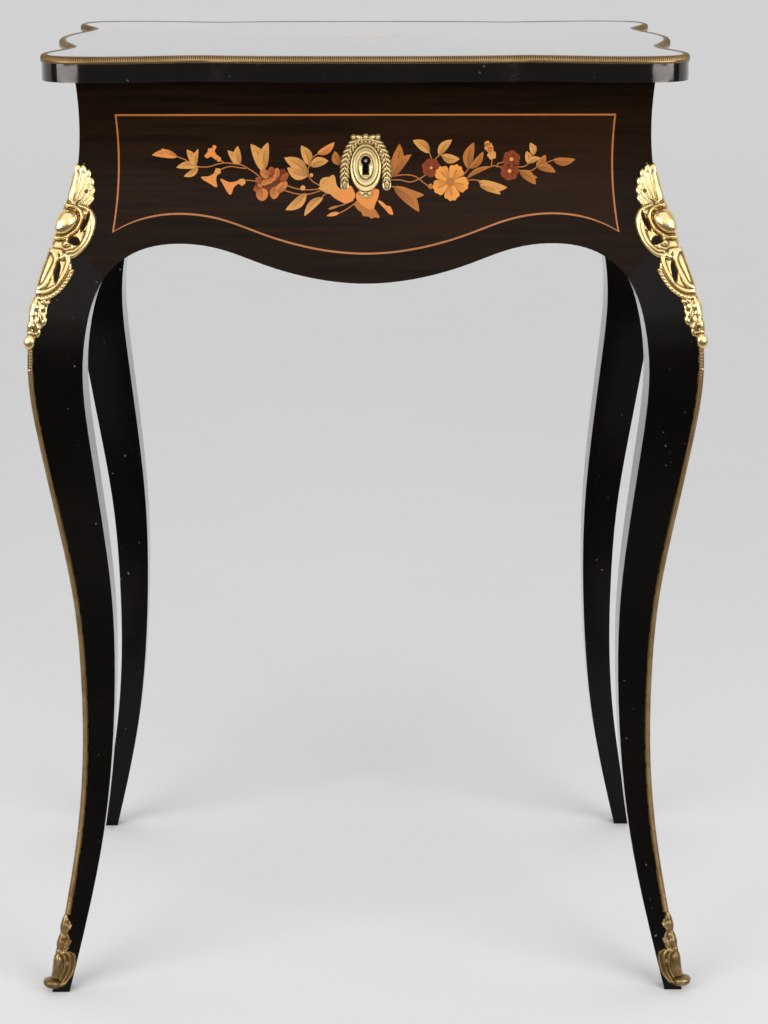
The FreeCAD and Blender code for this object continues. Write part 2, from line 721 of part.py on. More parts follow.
def bottom_board():
    x = INNER_X - BOTTOM_CLEARANCE
    y = INNER_Y - BOTTOM_CLEARANCE
    low = BOTTOM_TOP - BOTTOM_THICKNESS
    board = box((-x, -y, low), (x, y, BOTTOM_TOP))
    notch = box((HALF_WIDTH - POST_WIDTH - BOTTOM_CLEARANCE, HALF_DEPTH - POST_WIDTH - BOTTOM_CLEARANCE,
                 low - OVERRUN), (FAR, FAR, BOTTOM_TOP + OVERRUN))
    for corner in (notch, left_of(notch), front_of(notch), front_of(left_of(notch))):
        board = board.cut(corner)
    return board


def bearers():
    """The four strips under the edges of the bottom board."""
    low = CASE_TOP - BEARER_DROP
    high = low + BEARER_HEIGHT
    long = HALF_WIDTH - POST_WIDTH
    short = HALF_DEPTH - POST_WIDTH
    back = box((-long, INNER_Y - BEARER_WIDTH, low), (long, INNER_Y, high))
    right = box((INNER_X - BEARER_WIDTH, -short, low), (INNER_X, short, high))
    return [back, front_of(back), right, left_of(right)]


def partition(side):
    middle = side * PARTITION_SHARE * INNER_X
    half = PARTITION_THICKNESS / 2
    return box((middle - half, -INNER_Y, BOTTOM_TOP), (middle + half, INNER_Y, BOTTOM_TOP + PARTITION_HEIGHT))


# Lid

def quarter_curve(points):
    """A curve that leaves the middle of the side and meets the middle of the back squarely."""
    spline = Part.BSplineCurve()
    spline.interpolate(Points=points, InitialTangent=V(0, 1, 0), FinalTangent=V(-1, 0, 0))
    return spline


def lid_quarter(grow, level):
    """The rear right quarter of the lid's outline, moved outward by a distance."""
    x = LID_EAR_WIDTH / 2
    y = LID_EAR_DEPTH / 2
    turn = EAR_CORNER_SHARE * EAR_RADIUS
    points = [
        V(x + SIDE_MIDDLE_SWELL, 0, level),
        V(x - SIDE_DIP, y - SIDE_DIP_RUN, level),
        V(x, y - EAR_RADIUS, level),
        V(x - turn, y - turn, level),
        V(x - EAR_RADIUS, y, level),
        V(FRONT_DIP_SHARE * x, y - FRONT_DIP, level),
        V(0, y - FRONT_MIDDLE_DROP, level),
    ]
    drawn = quarter_curve(points)
    moved = []
    for point in points:
        along = drawn.tangent(drawn.parameter(point))[0]
        moved.append(point + V(along.y, -along.x, 0) * grow)
    return quarter_curve(moved).toShape()


def lid_slab(grow, low, high):
    quarter = lid_quarter(grow, low)
    half = [quarter, left_of(quarter)]
    edges = half + [front_of(edge) for edge in half]
    return face(*edges).extrude(V(0, 0, high - low))


RIM_LOW = TABLE_HEIGHT - RIM_SINK - RIM_HEIGHT
GROUND_TOP = TABLE_HEIGHT - VENEER


def rim():
    """Brass moulding let into the lid's top edge, rounded outside."""
    top = RIM_LOW + RIM_HEIGHT
    ring = lid_slab(RIM_PROUD, RIM_LOW, top).cut(lid_slab(-RIM_WIDTH, RIM_LOW - OVERRUN, top + OVERRUN))
    level = [edge for edge in ring.Edges if edge.BoundBox.ZMin > RIM_LOW + RIM_HEIGHT / 2]
    outside = LID_EAR_DEPTH / 2 - RIM_WIDTH / 2
    rounded = [edge for edge in level
               if max(abs(edge.BoundBox.YMin), abs(edge.BoundBox.YMax)) > outside]
    return ring.makeFillet(RIM_ROUND, rounded)


def mirror_glass():
    x = MIRROR_LENGTH / 2
    y = MIRROR_DEPTH / 2
    return box((-x, -y, LID_UNDERSIDE), (x, y, LID_UNDERSIDE + MIRROR_THICKNESS))


def frame_bar(half_length, half_depth):
    """The mitred front moulding of the mirror's frame, with its inner lower edge bevelled."""
    low = LID_UNDERSIDE - FRAME_HEIGHT
    inner_x = half_length - FRAME_LAP
    inner_y = half_depth - FRAME_LAP
    outer_x = inner_x + FRAME_WIDTH
    outer_y = inner_y + FRAME_WIDTH
    corners = [(-outer_x, -outer_y), (outer_x, -outer_y), (inner_x, -inner_y), (-inner_x, -inner_y)]
    closed = [V(x, y, low) for x, y in corners + corners[:1]]
    bar = Part.Face(Part.makePolygon(closed)).extrude(V(0, 0, FRAME_HEIGHT))
    bevel = [V(0, -inner_y, low), V(0, -inner_y - FRAME_CHAMFER, low), V(0, -inner_y, low + FRAME_CHAMFER)]
    wedge = Part.Face(Part.makePolygon(bevel + bevel[:1])).extrude(V(2 * outer_x, 0, 0))
    return bar.cut(wedge.translated(V(-outer_x, 0, 0)))


def lid_board(*inserts):
    """The board with its rebate for the rim and its recesses for all that is let into it."""
    board = joined(lid_slab(0, LID_UNDERSIDE, RIM_LOW), lid_slab(-RIM_WIDTH, RIM_LOW, GROUND_TOP))
    x = MIRROR_LENGTH / 2 + MIRROR_CLEARANCE
    y = MIRROR_DEPTH / 2 + MIRROR_CLEARANCE
    board = board.cut(box((-x, -y, LID_UNDERSIDE - OVERRUN), (x, y, LID_UNDERSIDE + MIRROR_THICKNESS)))
    for middle in HINGE_MIDDLES:
        board = board.cut(hinge_room(middle)).cut(hinge_plate(middle, LID_UNDERSIDE))
    for insert in inserts:
        board = board.cut(insert)
    return board


def make_case():
    """Legs, aprons, veneers, bottom and everything fixed to them."""
    pins = mount_pins()
    rear = leg_blank(REAR_LEG_SHARES, LEG_SHARES).cut(RIGHT_CUTTER)
    front = front_of(leg_blank(LEG_SHARES, REAR_LEG_SHARES)).cut(RIGHT_CUTTER).cut(FRONT_CUTTER)
    right_chute = chute()
    right_sabot = sabot()
    for pin in pins:
        front = front.cut(pin)
        right_chute = right_chute.cut(pin)
        right_sabot = right_sabot.cut(pin)
    front_sheets = veneered_face(HALF_WIDTH, HALF_DEPTH, 0, LEG_SHARES)
    side_sheets = veneered_face(HALF_DEPTH, HALF_WIDTH, VENEER, REAR_LEG_SHARES)
    plate_pins = escutcheon_pins()
    border, stringing, panel = front_sheets
    panel = panel.cut(keyhole())
    plate = escutcheon()
    front_apron = apron_blank(HALF_WIDTH, HALF_DEPTH, LEG_SHARES, LEG_SHARES).cut(FRONT_CUTTER)
    front_apron = front_apron.cut(lock_box(0)).cut(keyhole())
    for pin in pins:
        border = border.cut(pin).cut(left_of(pin))
    for pin in plate_pins:
        panel = panel.cut(pin)
        plate = plate.cut(pin)
        front_apron = front_apron.cut(pin)
    side_border, side_stringing, side_panel = [quarter_turned(sheet) for sheet in side_sheets]
    for pin in pins:
        side_border = side_border.cut(pin)
    lock_screws = screw_pair(0, -(INNER_Y + SELVEDGE_DEPTH / 2), SELVEDGE_SCREW_SPREAD, CASE_TOP, -1)
    lock = lock_case()
    for piece in lock_screws:
        front_apron = front_apron.cut(piece)
        lock = lock.cut(piece)
    rear_apron = front_of(apron_blank(HALF_WIDTH, HALF_DEPTH, REAR_LEG_SHARES, REAR_LEG_SHARES))
    leaves = [hinge_case_leaf(middle) for middle in HINGE_MIDDLES]
    hinge_screws = []
    for index, middle in enumerate(HINGE_MIDDLES):
        inset = HALF_DEPTH - HINGE_SCREW_INSET
        fixings = screw_pair(middle, inset, HINGE_SCREW_SPREAD, CASE_TOP, -1)
        for recess in [hinge_room(middle), hinge_plate(middle, CASE_TOP - HINGE_LEAF)] + fixings:
            rear_apron = rear_apron.cut(recess)
            rear = rear.cut(recess)
        for piece in fixings:
            leaves[index] = leaves[index].cut(piece)
        hinge_screws += fixings
    side_apron = quarter_turned(apron_blank(HALF_DEPTH, HALF_WIDTH, LEG_SHARES, REAR_LEG_SHARES))
    side_apron = side_apron.cut(RIGHT_CUTTER)

    export("leg_front_right", front)
    export("leg_front_left", left_of(front))
    export("leg_rear_right", rear)
    export("leg_rear_left", left_of(rear))
    export("front_apron", front_apron)
    export("rear_apron", rear_apron)
    export("right_apron", side_apron)
    export("left_apron", left_of(side_apron))
    export("front_veneer_border", border)
    export("front_stringing", stringing)
    export("front_marquetry_panel", panel)
    for name, sheet in (("veneer_border", side_border), ("stringing", side_stringing), ("panel", side_panel)):
        export("right_" + name, sheet)
        export("left_" + name, left_of(sheet))
    export("bottom_board", bottom_board())
    export("bottom_bearers", *bearers())
    export("partition_left", partition(-1))
    export("partition_right", partition(1))
    export("chute_right", right_chute)
    export("chute_left", left_of(right_chute))
    strip = arris_strip()
    export("arris_strip_right", strip)
    export("arris_strip_left", left_of(strip))
    export("sabot_right", right_sabot)
    export("sabot_left", left_of(right_sabot))
    export("mount_pins", *pins, *[left_of(pin) for pin in pins])
    export("escutcheon", plate)
    export("escutcheon_pins", *plate_pins)
    export("lock_case", lock)
    export("lock_drill_pin", drill_pin())
    export("lock_screws", *lock_screws)
    export("hinge_case_leaf_left", leaves[0])
    export("hinge_case_leaf_right", leaves[1])
    export("hinge_pins", *[hinge_pin(middle) for middle in HINGE_MIDDLES])
    export("hinge_case_screws", *hinge_screws)


def make_lid():
    """The lid and all that swings with it."""
    strike = strike_plate()
    strike_screws = screw_pair(0, LOCK_MIDDLE_Y, STRIKE_SCREW_SPREAD, LID_UNDERSIDE, 1)
    for piece in strike_screws:
        strike = strike.cut(piece)
    leaves = [hinge_lid_leaf(middle) for middle in HINGE_MIDDLES]
    hinge_screws = []
    for index, middle in enumerate(HINGE_MIDDLES):
        inset = HALF_DEPTH - HINGE_SCREW_INSET
        fixings = screw_pair(middle, inset, HINGE_SCREW_SPREAD, LID_UNDERSIDE, 1)
        for piece in fixings:
            leaves[index] = leaves[index].cut(piece)
        hinge_screws += fixings
    export("lid_board", lid_board(strike, *strike_screws, *hinge_screws))
    export("lid_top_veneer", lid_slab(-RIM_WIDTH, GROUND_TOP, TABLE_HEIGHT))
    export("lid_rim", rim())
    export("mirror_glass", mirror_glass())
    front_bar = frame_bar(MIRROR_LENGTH / 2, MIRROR_DEPTH / 2)
    right_bar = quarter_turned(frame_bar(MIRROR_DEPTH / 2, MIRROR_LENGTH / 2))
    export("mirror_frame_front", front_bar)
    export("mirror_frame_back", front_of(front_bar))
    export("mirror_frame_right", right_bar)
    export("mirror_frame_left", left_of(right_bar))
    export("strike_plate", strike)
    export("strike_screws", *strike_screws)
    export("hinge_lid_leaf_left", leaves[0])
    export("hinge_lid_leaf_right", leaves[1])
    export("hinge_lid_screws", *hinge_screws)


if __name__ == "__main__":
    os.makedirs("parts", exist_ok=True)
    make_case()
    make_lid()
    export("lock_bolt", lock_bolt())
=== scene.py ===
import math

import bpy
import numpy as np
from bpy.props import FloatProperty, FloatVectorProperty, PointerProperty
from bpy.types import Operator, Panel, PropertyGroup
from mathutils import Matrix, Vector
from mathutils.bvhtree import BVHTree


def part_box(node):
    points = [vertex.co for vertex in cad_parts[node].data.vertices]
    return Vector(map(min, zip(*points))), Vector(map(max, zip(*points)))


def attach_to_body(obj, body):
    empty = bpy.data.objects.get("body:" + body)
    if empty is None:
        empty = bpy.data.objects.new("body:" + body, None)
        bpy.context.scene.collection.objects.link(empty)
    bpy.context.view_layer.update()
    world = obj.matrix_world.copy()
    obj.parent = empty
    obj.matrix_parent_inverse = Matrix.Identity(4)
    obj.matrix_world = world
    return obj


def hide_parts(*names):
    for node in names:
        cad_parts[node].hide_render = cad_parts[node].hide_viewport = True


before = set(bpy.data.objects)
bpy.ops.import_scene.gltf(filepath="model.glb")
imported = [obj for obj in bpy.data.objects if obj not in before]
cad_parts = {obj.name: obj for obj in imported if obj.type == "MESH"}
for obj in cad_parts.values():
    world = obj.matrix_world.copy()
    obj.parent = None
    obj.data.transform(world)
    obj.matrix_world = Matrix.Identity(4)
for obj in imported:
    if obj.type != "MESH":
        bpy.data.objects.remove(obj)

bl_info = {
    "name": "Dressing table",
    "version": (1, 0, 0),
    "blender": (4, 5, 0),
    "location": "3D View > Sidebar > Dressing table",
    "description": "Finishes, marquetry and gilt mounts of a lift-top dressing table",
    "category": "Object",
}

MM = 0.001

# Relief, in millimetres: no metal, level of the sunk edges, lowest level kept, beyond any distance
NO_METAL = -1.0
SUNK = -0.25
LOWEST_KEPT = -0.2
FAR = 1e9
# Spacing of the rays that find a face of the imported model, and their number round the lid
RAY_STEP = 2 * MM
OUTLINE_RAYS = 1440
SCREW_RADIUS = 2.5 * MM
SCREWS_APART = 8 * MM
# Marquetry, in millimetres: height of the lowest layer, rise of each layer, level of the turned-down edges
FRONT_LAYERS = (0.18, 0.035, -0.25)
LID_LAYERS = (0.012, 0.004, -0.02)

# Stage
FLOOR_REACH = 30.0
SOFTBOX_PLACE = (1.55, -1.65, 1.15)
SOFTBOX_AIM = (0, -0.1, 0.6)
SOFTBOX_POWER = 24
SKY_POWER = 0.85
SKY_SPREAD = math.radians(70)
SKY_TILT = math.radians(45)
STUDIO = (0.86, 0.86, 0.86)
BACKDROP = (0.62, 0.62, 0.62)
CAMERA_PLACE = (-0.005, -2.122, 0.920)
CAMERA_TURN = (math.radians(75.02), 0, math.radians(-0.55))
CAMERA_LENS = 90.9
SENSOR_HEIGHT = 36.0

# Colours that no setting holds
# Grime and painted shade, for the hollows of the cast brass and of the rim
GRIME_AND_PAINTED_SHADE = (0.12, 0.065, 0.018)
CHIP = (0.16, 0.14, 0.12)
FADED_INLAY = (0.03, 0.013, 0.006)
SCORCHED = (0.06, 0.016, 0.004)
SILVER = (0.86, 0.87, 0.86)
SPOT = (0.25, 0.22, 0.18)
WARM_GLOSS = (1.0, 0.86, 0.78)
# The lock's pin: pale grey, partly a painted highlight, as with its low metal share it shows bright under any
# lamp
PIN_STEEL_AND_HIGHLIGHT = (0.92, 0.92, 0.92)
PIN_STEEL_AND_HIGHLIGHT_DULL = (0.75, 0.75, 0.75)
# Stretch of the noise along the grain of wood, and of noise without a grain
GRAIN = {"x": (1.0, 22.0, 22.0), "y": (22.0, 1.0, 22.0), "z": (22.0, 22.0, 1.0)}
EVEN = (1, 1, 1)
BUMP_DEPTH = 0.2 * MM

# Woods of the marquetry: gold leaf, orange, brown orange, red, pale flower, rose, burnt shade, dull orange
TINTS = (
    (0.82, 0.38, 0.10), (0.92, 0.33, 0.08), (0.56, 0.195, 0.042), (0.29, 0.056, 0.014),
    (1.0, 0.39, 0.08), (0.46, 0.10, 0.024), (0.15, 0.032, 0.010), (0.72, 0.23, 0.056),
)

# Spray on the front, in millimetres, set a little to the left of the middle
SPRAY_SHIFT = -1.5
# Leaves are base and tip, each across and up, width and tint
LEAVES = (
    (-141.6, 672.9, -160.8, 674.3, 6.2, 1), (-141.9, 673.4, -153.5, 678.9, 4.6, 1),
    (-128.6, 666.1, -134.3, 678.2, 5.9, 0), (-128.0, 665.8, -125.8, 678.6, 4.0, 0),
    (-125.9, 665.6, -142.5, 664.8, 5.6, 0), (-125.9, 664.8, -136.8, 658.2, 4.6, 0),
    (-96.8, 666.9, -103.3, 677.7, 5.1, 0), (-94.6, 666.9, -95.8, 680.8, 6.2, 0),
    (-76.0, 661.6, -85.8, 682.4, 9.5, 0), (-75.5, 663.5, -72.7, 683.6, 7.6, 0),
    (-43.0, 659.0, -60.4, 672.1, 9.3, 0), (-42.7, 658.3, -58.3, 664.4, 8.3, 0),
    (-41.7, 666.6, -47.5, 681.2, 7.6, 0), (-40.8, 665.9, -26.9, 669.7, 7.1, 0),
    (-35.4, 674.7, -22.2, 683.6, 5.6, 1), (-43.7, 645.7, -59.5, 633.3, 7.3, 0),
    (-31.1, 642.7, -45.4, 628.9, 5.9, 0), (-33.0, 649.4, -25.4, 657.4, 6.0, 0),
    (19.7, 657.1, 27.3, 682.4, 9.8, 2), (21.7, 657.5, 36.2, 674.5, 7.3, 2),
    (22.4, 650.4, 46.0, 644.1, 7.3, 2), (22.9, 650.2, 42.1, 631.9, 9.5, 2),
    (50.1, 675.7, 37.4, 685.1, 7.3, 0), (56.9, 673.8, 67.0, 685.5, 6.3, 0),
    (59.1, 673.5, 72.9, 670.9, 6.8, 0), (79.4, 663.3, 83.7, 683.4, 7.9, 2),
    (80.7, 663.7, 90.9, 676.6, 5.4, 2), (78.5, 656.3, 96.8, 665.3, 3.2, 2),
    (87.3, 654.2, 109.2, 649.6, 7.9, 0), (88.3, 651.1, 104.1, 644.7, 5.7, 0),
    (118.6, 662.2, 132.2, 656.9, 5.1, 2), (118.6, 661.9, 131.0, 652.0, 7.0, 2),
    (125.5, 667.5, 123.9, 676.8, 5.4, 0), (124.9, 667.8, 134.3, 671.8, 4.1, 0),
    (129.3, 674.0, 126.6, 683.1, 5.1, 0), (129.3, 674.0, 130.9, 680.9, 3.5, 0),
    (131.5, 665.3, 138.4, 674.0, 5.7, 2), (131.9, 665.0, 146.1, 661.1, 6.0, 2),
    (143.8, 670.1, 160.9, 670.6, 6.0, 2), (-18.5, 666.4, -22.0, 676.9, 6.4, 2),
)
# Stems are points along their middle
STEMS = (
    ((-141.6, 672.9), (-136.0, 670.8), (-132.3, 668.4), (-128.0, 665.7), (-125.4, 665.3),
     (-118.4, 665.3), (-112.0, 667.1), (-106.1, 668.2), (-98.6, 667.7), (-92.7, 666.6), (-87.9, 664.0),
     (-82.6, 660.6), (-77.8, 656.4)),
    ((-109.3, 663.2), (-104.5, 665.0), (-100.2, 665.6), (-95.4, 664.8), (-89.6, 664.0)),
    ((-90.9, 655.1), (-85.8, 655.1), (-79.4, 654.0)),
    ((-109.3, 670.3), (-106.1, 668.3)),
    ((-59.3, 651.6), (-50.5, 648.8), (-42.7, 648.1), (-33.0, 648.8)),
    ((-60.2, 647.6), (-50.5, 645.0), (-42.7, 644.8), (-33.0, 647.4)),
    ((-43.0, 659.7), (-41.8, 657.8), (-38.4, 654.0), (-31.1, 650.2)),
    ((-42.0, 658.3), (-42.5, 663.0), (-41.3, 666.3), (-40.0, 671.1), (-35.1, 674.9)),
    ((-31.6, 642.2), (-30.6, 644.1), (-26.2, 646.4)),
    ((16.3, 656.4), (24.6, 658.5), (31.9, 659.2), (37.7, 658.5), (41.6, 656.4), (46.0, 653.0),
     (50.4, 650.4), (56.2, 650.7)),
    ((16.3, 655.2), (27.0, 655.4), (35.3, 653.8), (41.6, 655.9), (47.4, 659.2)),
    ((15.4, 652.1), (17.8, 651.2), (23.1, 650.1)),
    ((49.6, 676.2), (51.6, 671.1)),
    ((53.7, 670.2), (57.4, 673.6), (59.6, 673.6)),
    ((75.3, 658.5), (79.6, 663.3)),
    ((77.2, 654.8), (82.9, 655.4), (88.3, 654.8)),
    ((77.2, 656.0), (96.8, 665.3), (101.2, 665.3), (106.3, 664.7)),
    ((101.8, 665.3), (102.1, 667.5), (106.9, 668.5)),
    ((97.7, 671.8), (97.1, 665.6)),
    ((117.0, 665.0), (122.1, 665.3), (125.5, 667.5)),
    ((117.0, 662.5), (127.1, 662.2), (131.9, 665.0)),
    ((129.2, 674.6), (129.0, 671.2), (127.7, 668.4)),
    ((136.6, 667.2), (144.1, 670.1)),
    ((-6.7, 638.2), (-13.6, 633.5), (-19.8, 630.6)),
    ((-7.8, 640.3), (-15.8, 637.1), (-20.2, 636.0)),
)
# Flowers are middle, reach and half width of the petals, their number, first angle, tint, radius of the eye
FLOWERS = (
    (65.9, 653.8, 9.0, 5.8, 5, 61, 4, 3.0), (51.3, 664.4, 4.6, 3.0, 7, 10, 3, 1.0),
    (112.4, 670.8, 4.3, 2.9, 6, 20, 3, 1.3), (111.0, 661.9, 4.6, 3.0, 7, 0, 3, 1.3),
)
# Bells are a tint and an outline
BELLS = (
    (1, (-109.3, 669.8), (-112.0, 670.3), (-116.2, 673.1), (-118.6, 671.7), (-121.1, 673.3),
     (-118.7, 676.4), (-118.2, 678.9), (-115.2, 679.5), (-114.2, 681.7), (-111.8, 680.5),
     (-113.2, 677.4), (-111.9, 674.5), (-108.7, 671.9)),
    (1, (-109.9, 660.5), (-111.8, 658.7), (-112.3, 654.8), (-111.5, 651.2), (-112.7, 650.2),
     (-116.9, 652.6), (-122.1, 655.6), (-123.7, 657.9), (-118.5, 658.2), (-114.4, 660.1), (-112.3, 662.4)),
    (1, (-93.9, 653.0), (-95.7, 652.5), (-99.0, 649.9), (-100.2, 646.3), (-101.5, 644.5),
     (-103.6, 646.0), (-106.3, 650.7), (-109.2, 656.3), (-106.2, 655.5), (-101.9, 653.8), (-96.5, 654.7),
     (-94.4, 655.9)),
    (0, (-34.8, 649.2), (-30.4, 653.1), (-24.9, 658.7), (-22.0, 658.0), (-20.5, 651.3), (-16.5, 647.1),
     (-19.5, 644.6), (-24.6, 644.6), (-30.4, 646.5)),
    (1, (-25.3, 644.6), (-21.6, 647.1), (-18.0, 648.1), (-10.7, 651.3), (-7.8, 647.8), (-6.5, 643.5),
     (-8.9, 640.0), (-13.6, 638.0), (-18.0, 639.6), (-22.4, 642.1)),
    (2, (-7.8, 637.5), (-4.9, 640.0), (1.0, 636.4), (7.6, 634.3), (10.1, 631.5), (12.1, 627.6), (8.3, 627.8),
     (5.4, 626.9), (3.5, 628.5), (-0.5, 628.8), (-1.9, 631.5), (-4.5, 633.2)),
    (1, (-5.9, 641.4), (-5.6, 645.6), (-1.9, 647.8), (5.4, 648.5), (11.4, 648.1), (10.8, 642.1),
     (8.7, 637.5), (7.4, 634.0), (3.5, 634.0), (-1.9, 637.1)),
    (1, (10.6, 640.3), (13.4, 639.6), (17.4, 636.4), (20.3, 635.6), (22.3, 629.9), (18.9, 630.6),
     (16.3, 633.6), (12.3, 637.5)),
    (1, (-28.5, 628.9), (-24.9, 631.3), (-20.5, 631.9), (-19.1, 630.8), (-20.9, 629.4), (-24.9, 628.6)),
    (2, (-27.3, 633.9), (-24.6, 635.6), (-20.5, 636.4), (-19.5, 635.6), (-22.4, 634.3), (-25.4, 633.5)),
)
# Discs are middle, radius, tint and layer
DISCS = (
    (-110.1, 671.0, 1.8, 0, 2), (-111.1, 661.9, 2.4, 0, 2), (-92.7, 653.9, 2.6, 0, 2),
    (-46.4, 649.5, 1.9, 0, 2), (-39.9, 659.0, 1.4, 0, 2), (97.4, 673.9, 3.3, 0, 2),
    (95.1, 679.9, 3.3, 1, 2), (94.0, 682.3, 2.3, 1, 2), (96.2, 677.7, 2.5, 1, 2),
    (50.9, 650.6, 2.0, 2, 2), (-72.8, 652.5, 7.2, 6, 2), (-65.4, 656.6, 6.6, 6, 2.2),
    (-79.6, 650.6, 3.8, 6, 2.4), (-61.8, 661.0, 3.0, 6, 2.6),
)
# The many-petalled flower at the left: petals like LEAVES
PETALS = (
    (-77.7, 649.6, -77.3, 639.8, 9.0, 7), (-67.3, 650.6, -68.7, 641.2, 7.2, 7),
    (-66.4, 646.6, -58.4, 654.0, 6.4, 7), (-62.8, 654.0, -57.7, 660.6, 4.6, 5),
    (-66.2, 656.8, -66.0, 664.6, 4.2, 7), (-69.9, 658.8, -70.6, 665.4, 5.2, 5),
    (-72.3, 657.6, -78.6, 662.8, 6.0, 7), (-68.6, 657.2, -73.9, 652.6, 3.8, 7),
    (-72.3, 655.4, -78.2, 651.9, 4.2, 7), (-67.1, 654.9, -68.5, 659.2, 2.2, 7),
    (-78.2, 653.5, -82.2, 657.2, 3.6, 5), (-77.5, 650.1, -80.6, 652.3, 2.2, 7),
    (-80.1, 648.9, -84.1, 648.5, 3.6, 5),
)

# Corner mount: leaves are base across, base down, tip across, tip down, width, height
CHUTE_LEAVES = (
    (1.2, 29, -0.3, -1.8, 7.4, 3.9), (3.6, 29, 4.4, -1.4, 6.8, 3.7), (6.0, 29.5, 9.0, 2.4, 6.6, 3.5),
    (8.2, 30, 12.6, 8.8, 6.2, 3.3), (10.6, 30.5, 14.9, 15.4, 5.6, 3.1), (12.6, 31, 15.8, 22.6, 5.0, 2.9),
    (0.4, 97, 9.6, 117, 8.0, 3.2), (3.0, 97, 9.8, 102.5, 4.4, 2.9), (0.3, 106, 6.0, 125.5, 6.6, 3.4),
    (0, 97, 1.2, 116, 7.0, 4.6), (0, 112, 0.4, 126, 6.0, 4.2),
)
# Bands are half width, height, groove depth, bead pitch, points across and down
CHUTE_BANDS = (
    (3.8, 3.8, 1.1, 0, (7, 31.4), (14.6, 34.2), (19.6, 39.6), (22.0, 47.4), (21.9, 55.3), (20.0, 60.7),
     (16.8, 64.4), (12.6, 65), (9.4, 66.4)),
    (1.3, 3.6, 0, 0, (-1, 24), (6.6, 31.4)),
    (1.3, 3.9, 0, 0, (-1, 32), (5.8, 25)),
    (1.5, 3.2, 0, 0, (17.3, 46.8), (12, 45.4)),
    (1.2, 3.4, 0, 0, (14.5, 58.6), (6, 53.6), (0, 54.2)),
    (2.1, 3.7, 0.4, 0, (9.6, 65.8), (5, 63), (-0.5, 62.6)),
    (2.0, 3.6, 0.5, 0, (10, 66.6), (14.2, 68.6), (14.8, 75.6), (13.5, 83), (10.7, 88.4), (6.0, 91.6),
     (0, 92.4)),
    (2.3, 4.0, 0.3, 0, (2.5, 64), (5.2, 69.5), (4.6, 78), (3, 87), (0, 90)),
    (2.3, 3.3, 0, 2.7, (19.8, 77.5), (18.8, 83), (16.0, 89.4), (11.4, 94), (5.6, 96.6), (-0.5, 97)),
    (1.1, 3.6, 0, 0, (4.2, 122.6), (-0.5, 122.0)),
)
# Domes are across, down, half width, half height, height
CHUTE_DOMES = (
    (0, 42, 10.2, 9.4, 7.0), (17.3, 46.8, 2.2, 2.2, 3.9), (8.6, 57, 4.0, 2.9, 4.3),
    (10, 66.4, 3.0, 3.0, 4.2), (9.2, 99.6, 2.2, 2.0, 3.2), (20.2, 77, 1.7, 1.7, 3.4),
    (0.6, 129.0, 3.9, 6.2, 5.2), (0, 3.2, 3.2, 4.8, 2.7), (4.3, 3.8, 3.0, 4.8, 2.6),
    (8.5, 7.2, 3.0, 4.8, 2.5), (11.9, 13.2, 2.9, 4.6, 2.4), (14.0, 19.4, 2.7, 4.2, 2.3),
    (15.0, 25.2, 2.5, 3.4, 2.2), (8.9, 113.4, 2.5, 3.6, 2.2), (5.5, 121.8, 2.3, 3.6, 2.2),
)
# Rings are across, down, half width, half height, half thickness, height
CHUTE_RINGS = ((0, 42, 13.0, 12.0, 1.6, 4.8),)
# Plates are height, then the outline across and down
CHUTE_PLATES = (
    (2.0, (-1, 1), (4, 1.4), (8.6, 5), (12, 11), (14.2, 17.5), (15.4, 25), (14.6, 32), (14.6, 36), (-1, 36)),
    (1.5, (-1, 30), (14.6, 32), (19.6, 38), (22.4, 46), (22.4, 55), (20.6, 62), (17, 66), (10, 69), (-1, 68)),
    (1.7, (-1, 63), (10, 66), (15.6, 68), (19.8, 77), (18.8, 84), (15.4, 91), (9.4, 96), (-1, 99)),
    (1.3, (-1, 96), (8, 98), (10, 112), (5, 125), (4, 132), (-1, 137)),
)
# Openings are across, down, half width, half height, turn
CHUTE_HOLES = ((15.9, 43.0, 1.3, 4.6, 0.1), (13.2, 55.0, 4.2, 2.4, 0.55), (9.0, 78, 1.8, 6.0, -0.16))
# How far the ornament hangs below the top of its box, and how far the mounts reach round the corner
CHUTE_DROP = 4.0
CHUTE_REACH = 30.0
SABOT_REACH = 16.0

# Foot mount, in rows like those of the corner mount
SABOT_LEAVES = (
    (0.5, 14, -0.2, -1.9, 6.6, 3.6), (0.8, 13.5, 6.0, 7.5, 5.2, 3.0), (0.5, 15, 4.8, 12.4, 3.4, 2.6),
    (0.6, 28, 0, 12, 6.4, 4.0), (0.4, 29, 0.8, 52, 6.0, 4.2), (1.2, 27, 8.2, 20, 6.0, 3.0),
    (2.0, 29, 7.2, 25.4, 4.2, 2.8),
)
SABOT_BANDS = (
    (1.5, 3.3, 0, 0, (2.6, 30), (4.4, 32.8), (6.2, 37.4), (6.6, 43), (5.8, 48.9), (4.0, 54)),
    (1.5, 3.1, 0, 0, (5.6, 29.6), (8.4, 32.4), (10.2, 37.4), (10.4, 43), (9.3, 48.9), (6.6, 54.4)),
    (1.2, 2.9, 0, 0, (8, 29.2), (12, 31.6), (13.6, 36.6), (13.7, 43), (12.6, 48.9), (9.4, 54.4)),
    (3.0, 3.4, 0, 0, (0, 29), (0, 40), (0, 50)),
    (1.9, 3.4, 0, 0, (0, 56.5), (5.4, 56.4), (9.0, 54.6)),
)
SABOT_DOMES = ((0, 54.6, 5.8, 4.4, 9.4), (5.2, 55.4, 3.0, 2.6, 4.6), (4.2, 29.6, 2.4, 2.2, 3.4))
SABOT_PLATES = (
    (1.2, (-1, 1), (3.4, 4), (5.4, 8), (3.6, 13), (5, 16), (7, 20.4), (5.4, 26), (6, 29), (-1, 30)),
    (1.9, (-1, 28), (8, 28.4), (13.4, 31), (14.4, 38), (14, 45), (12, 52), (9, 57), (-1, 57.8)),
)

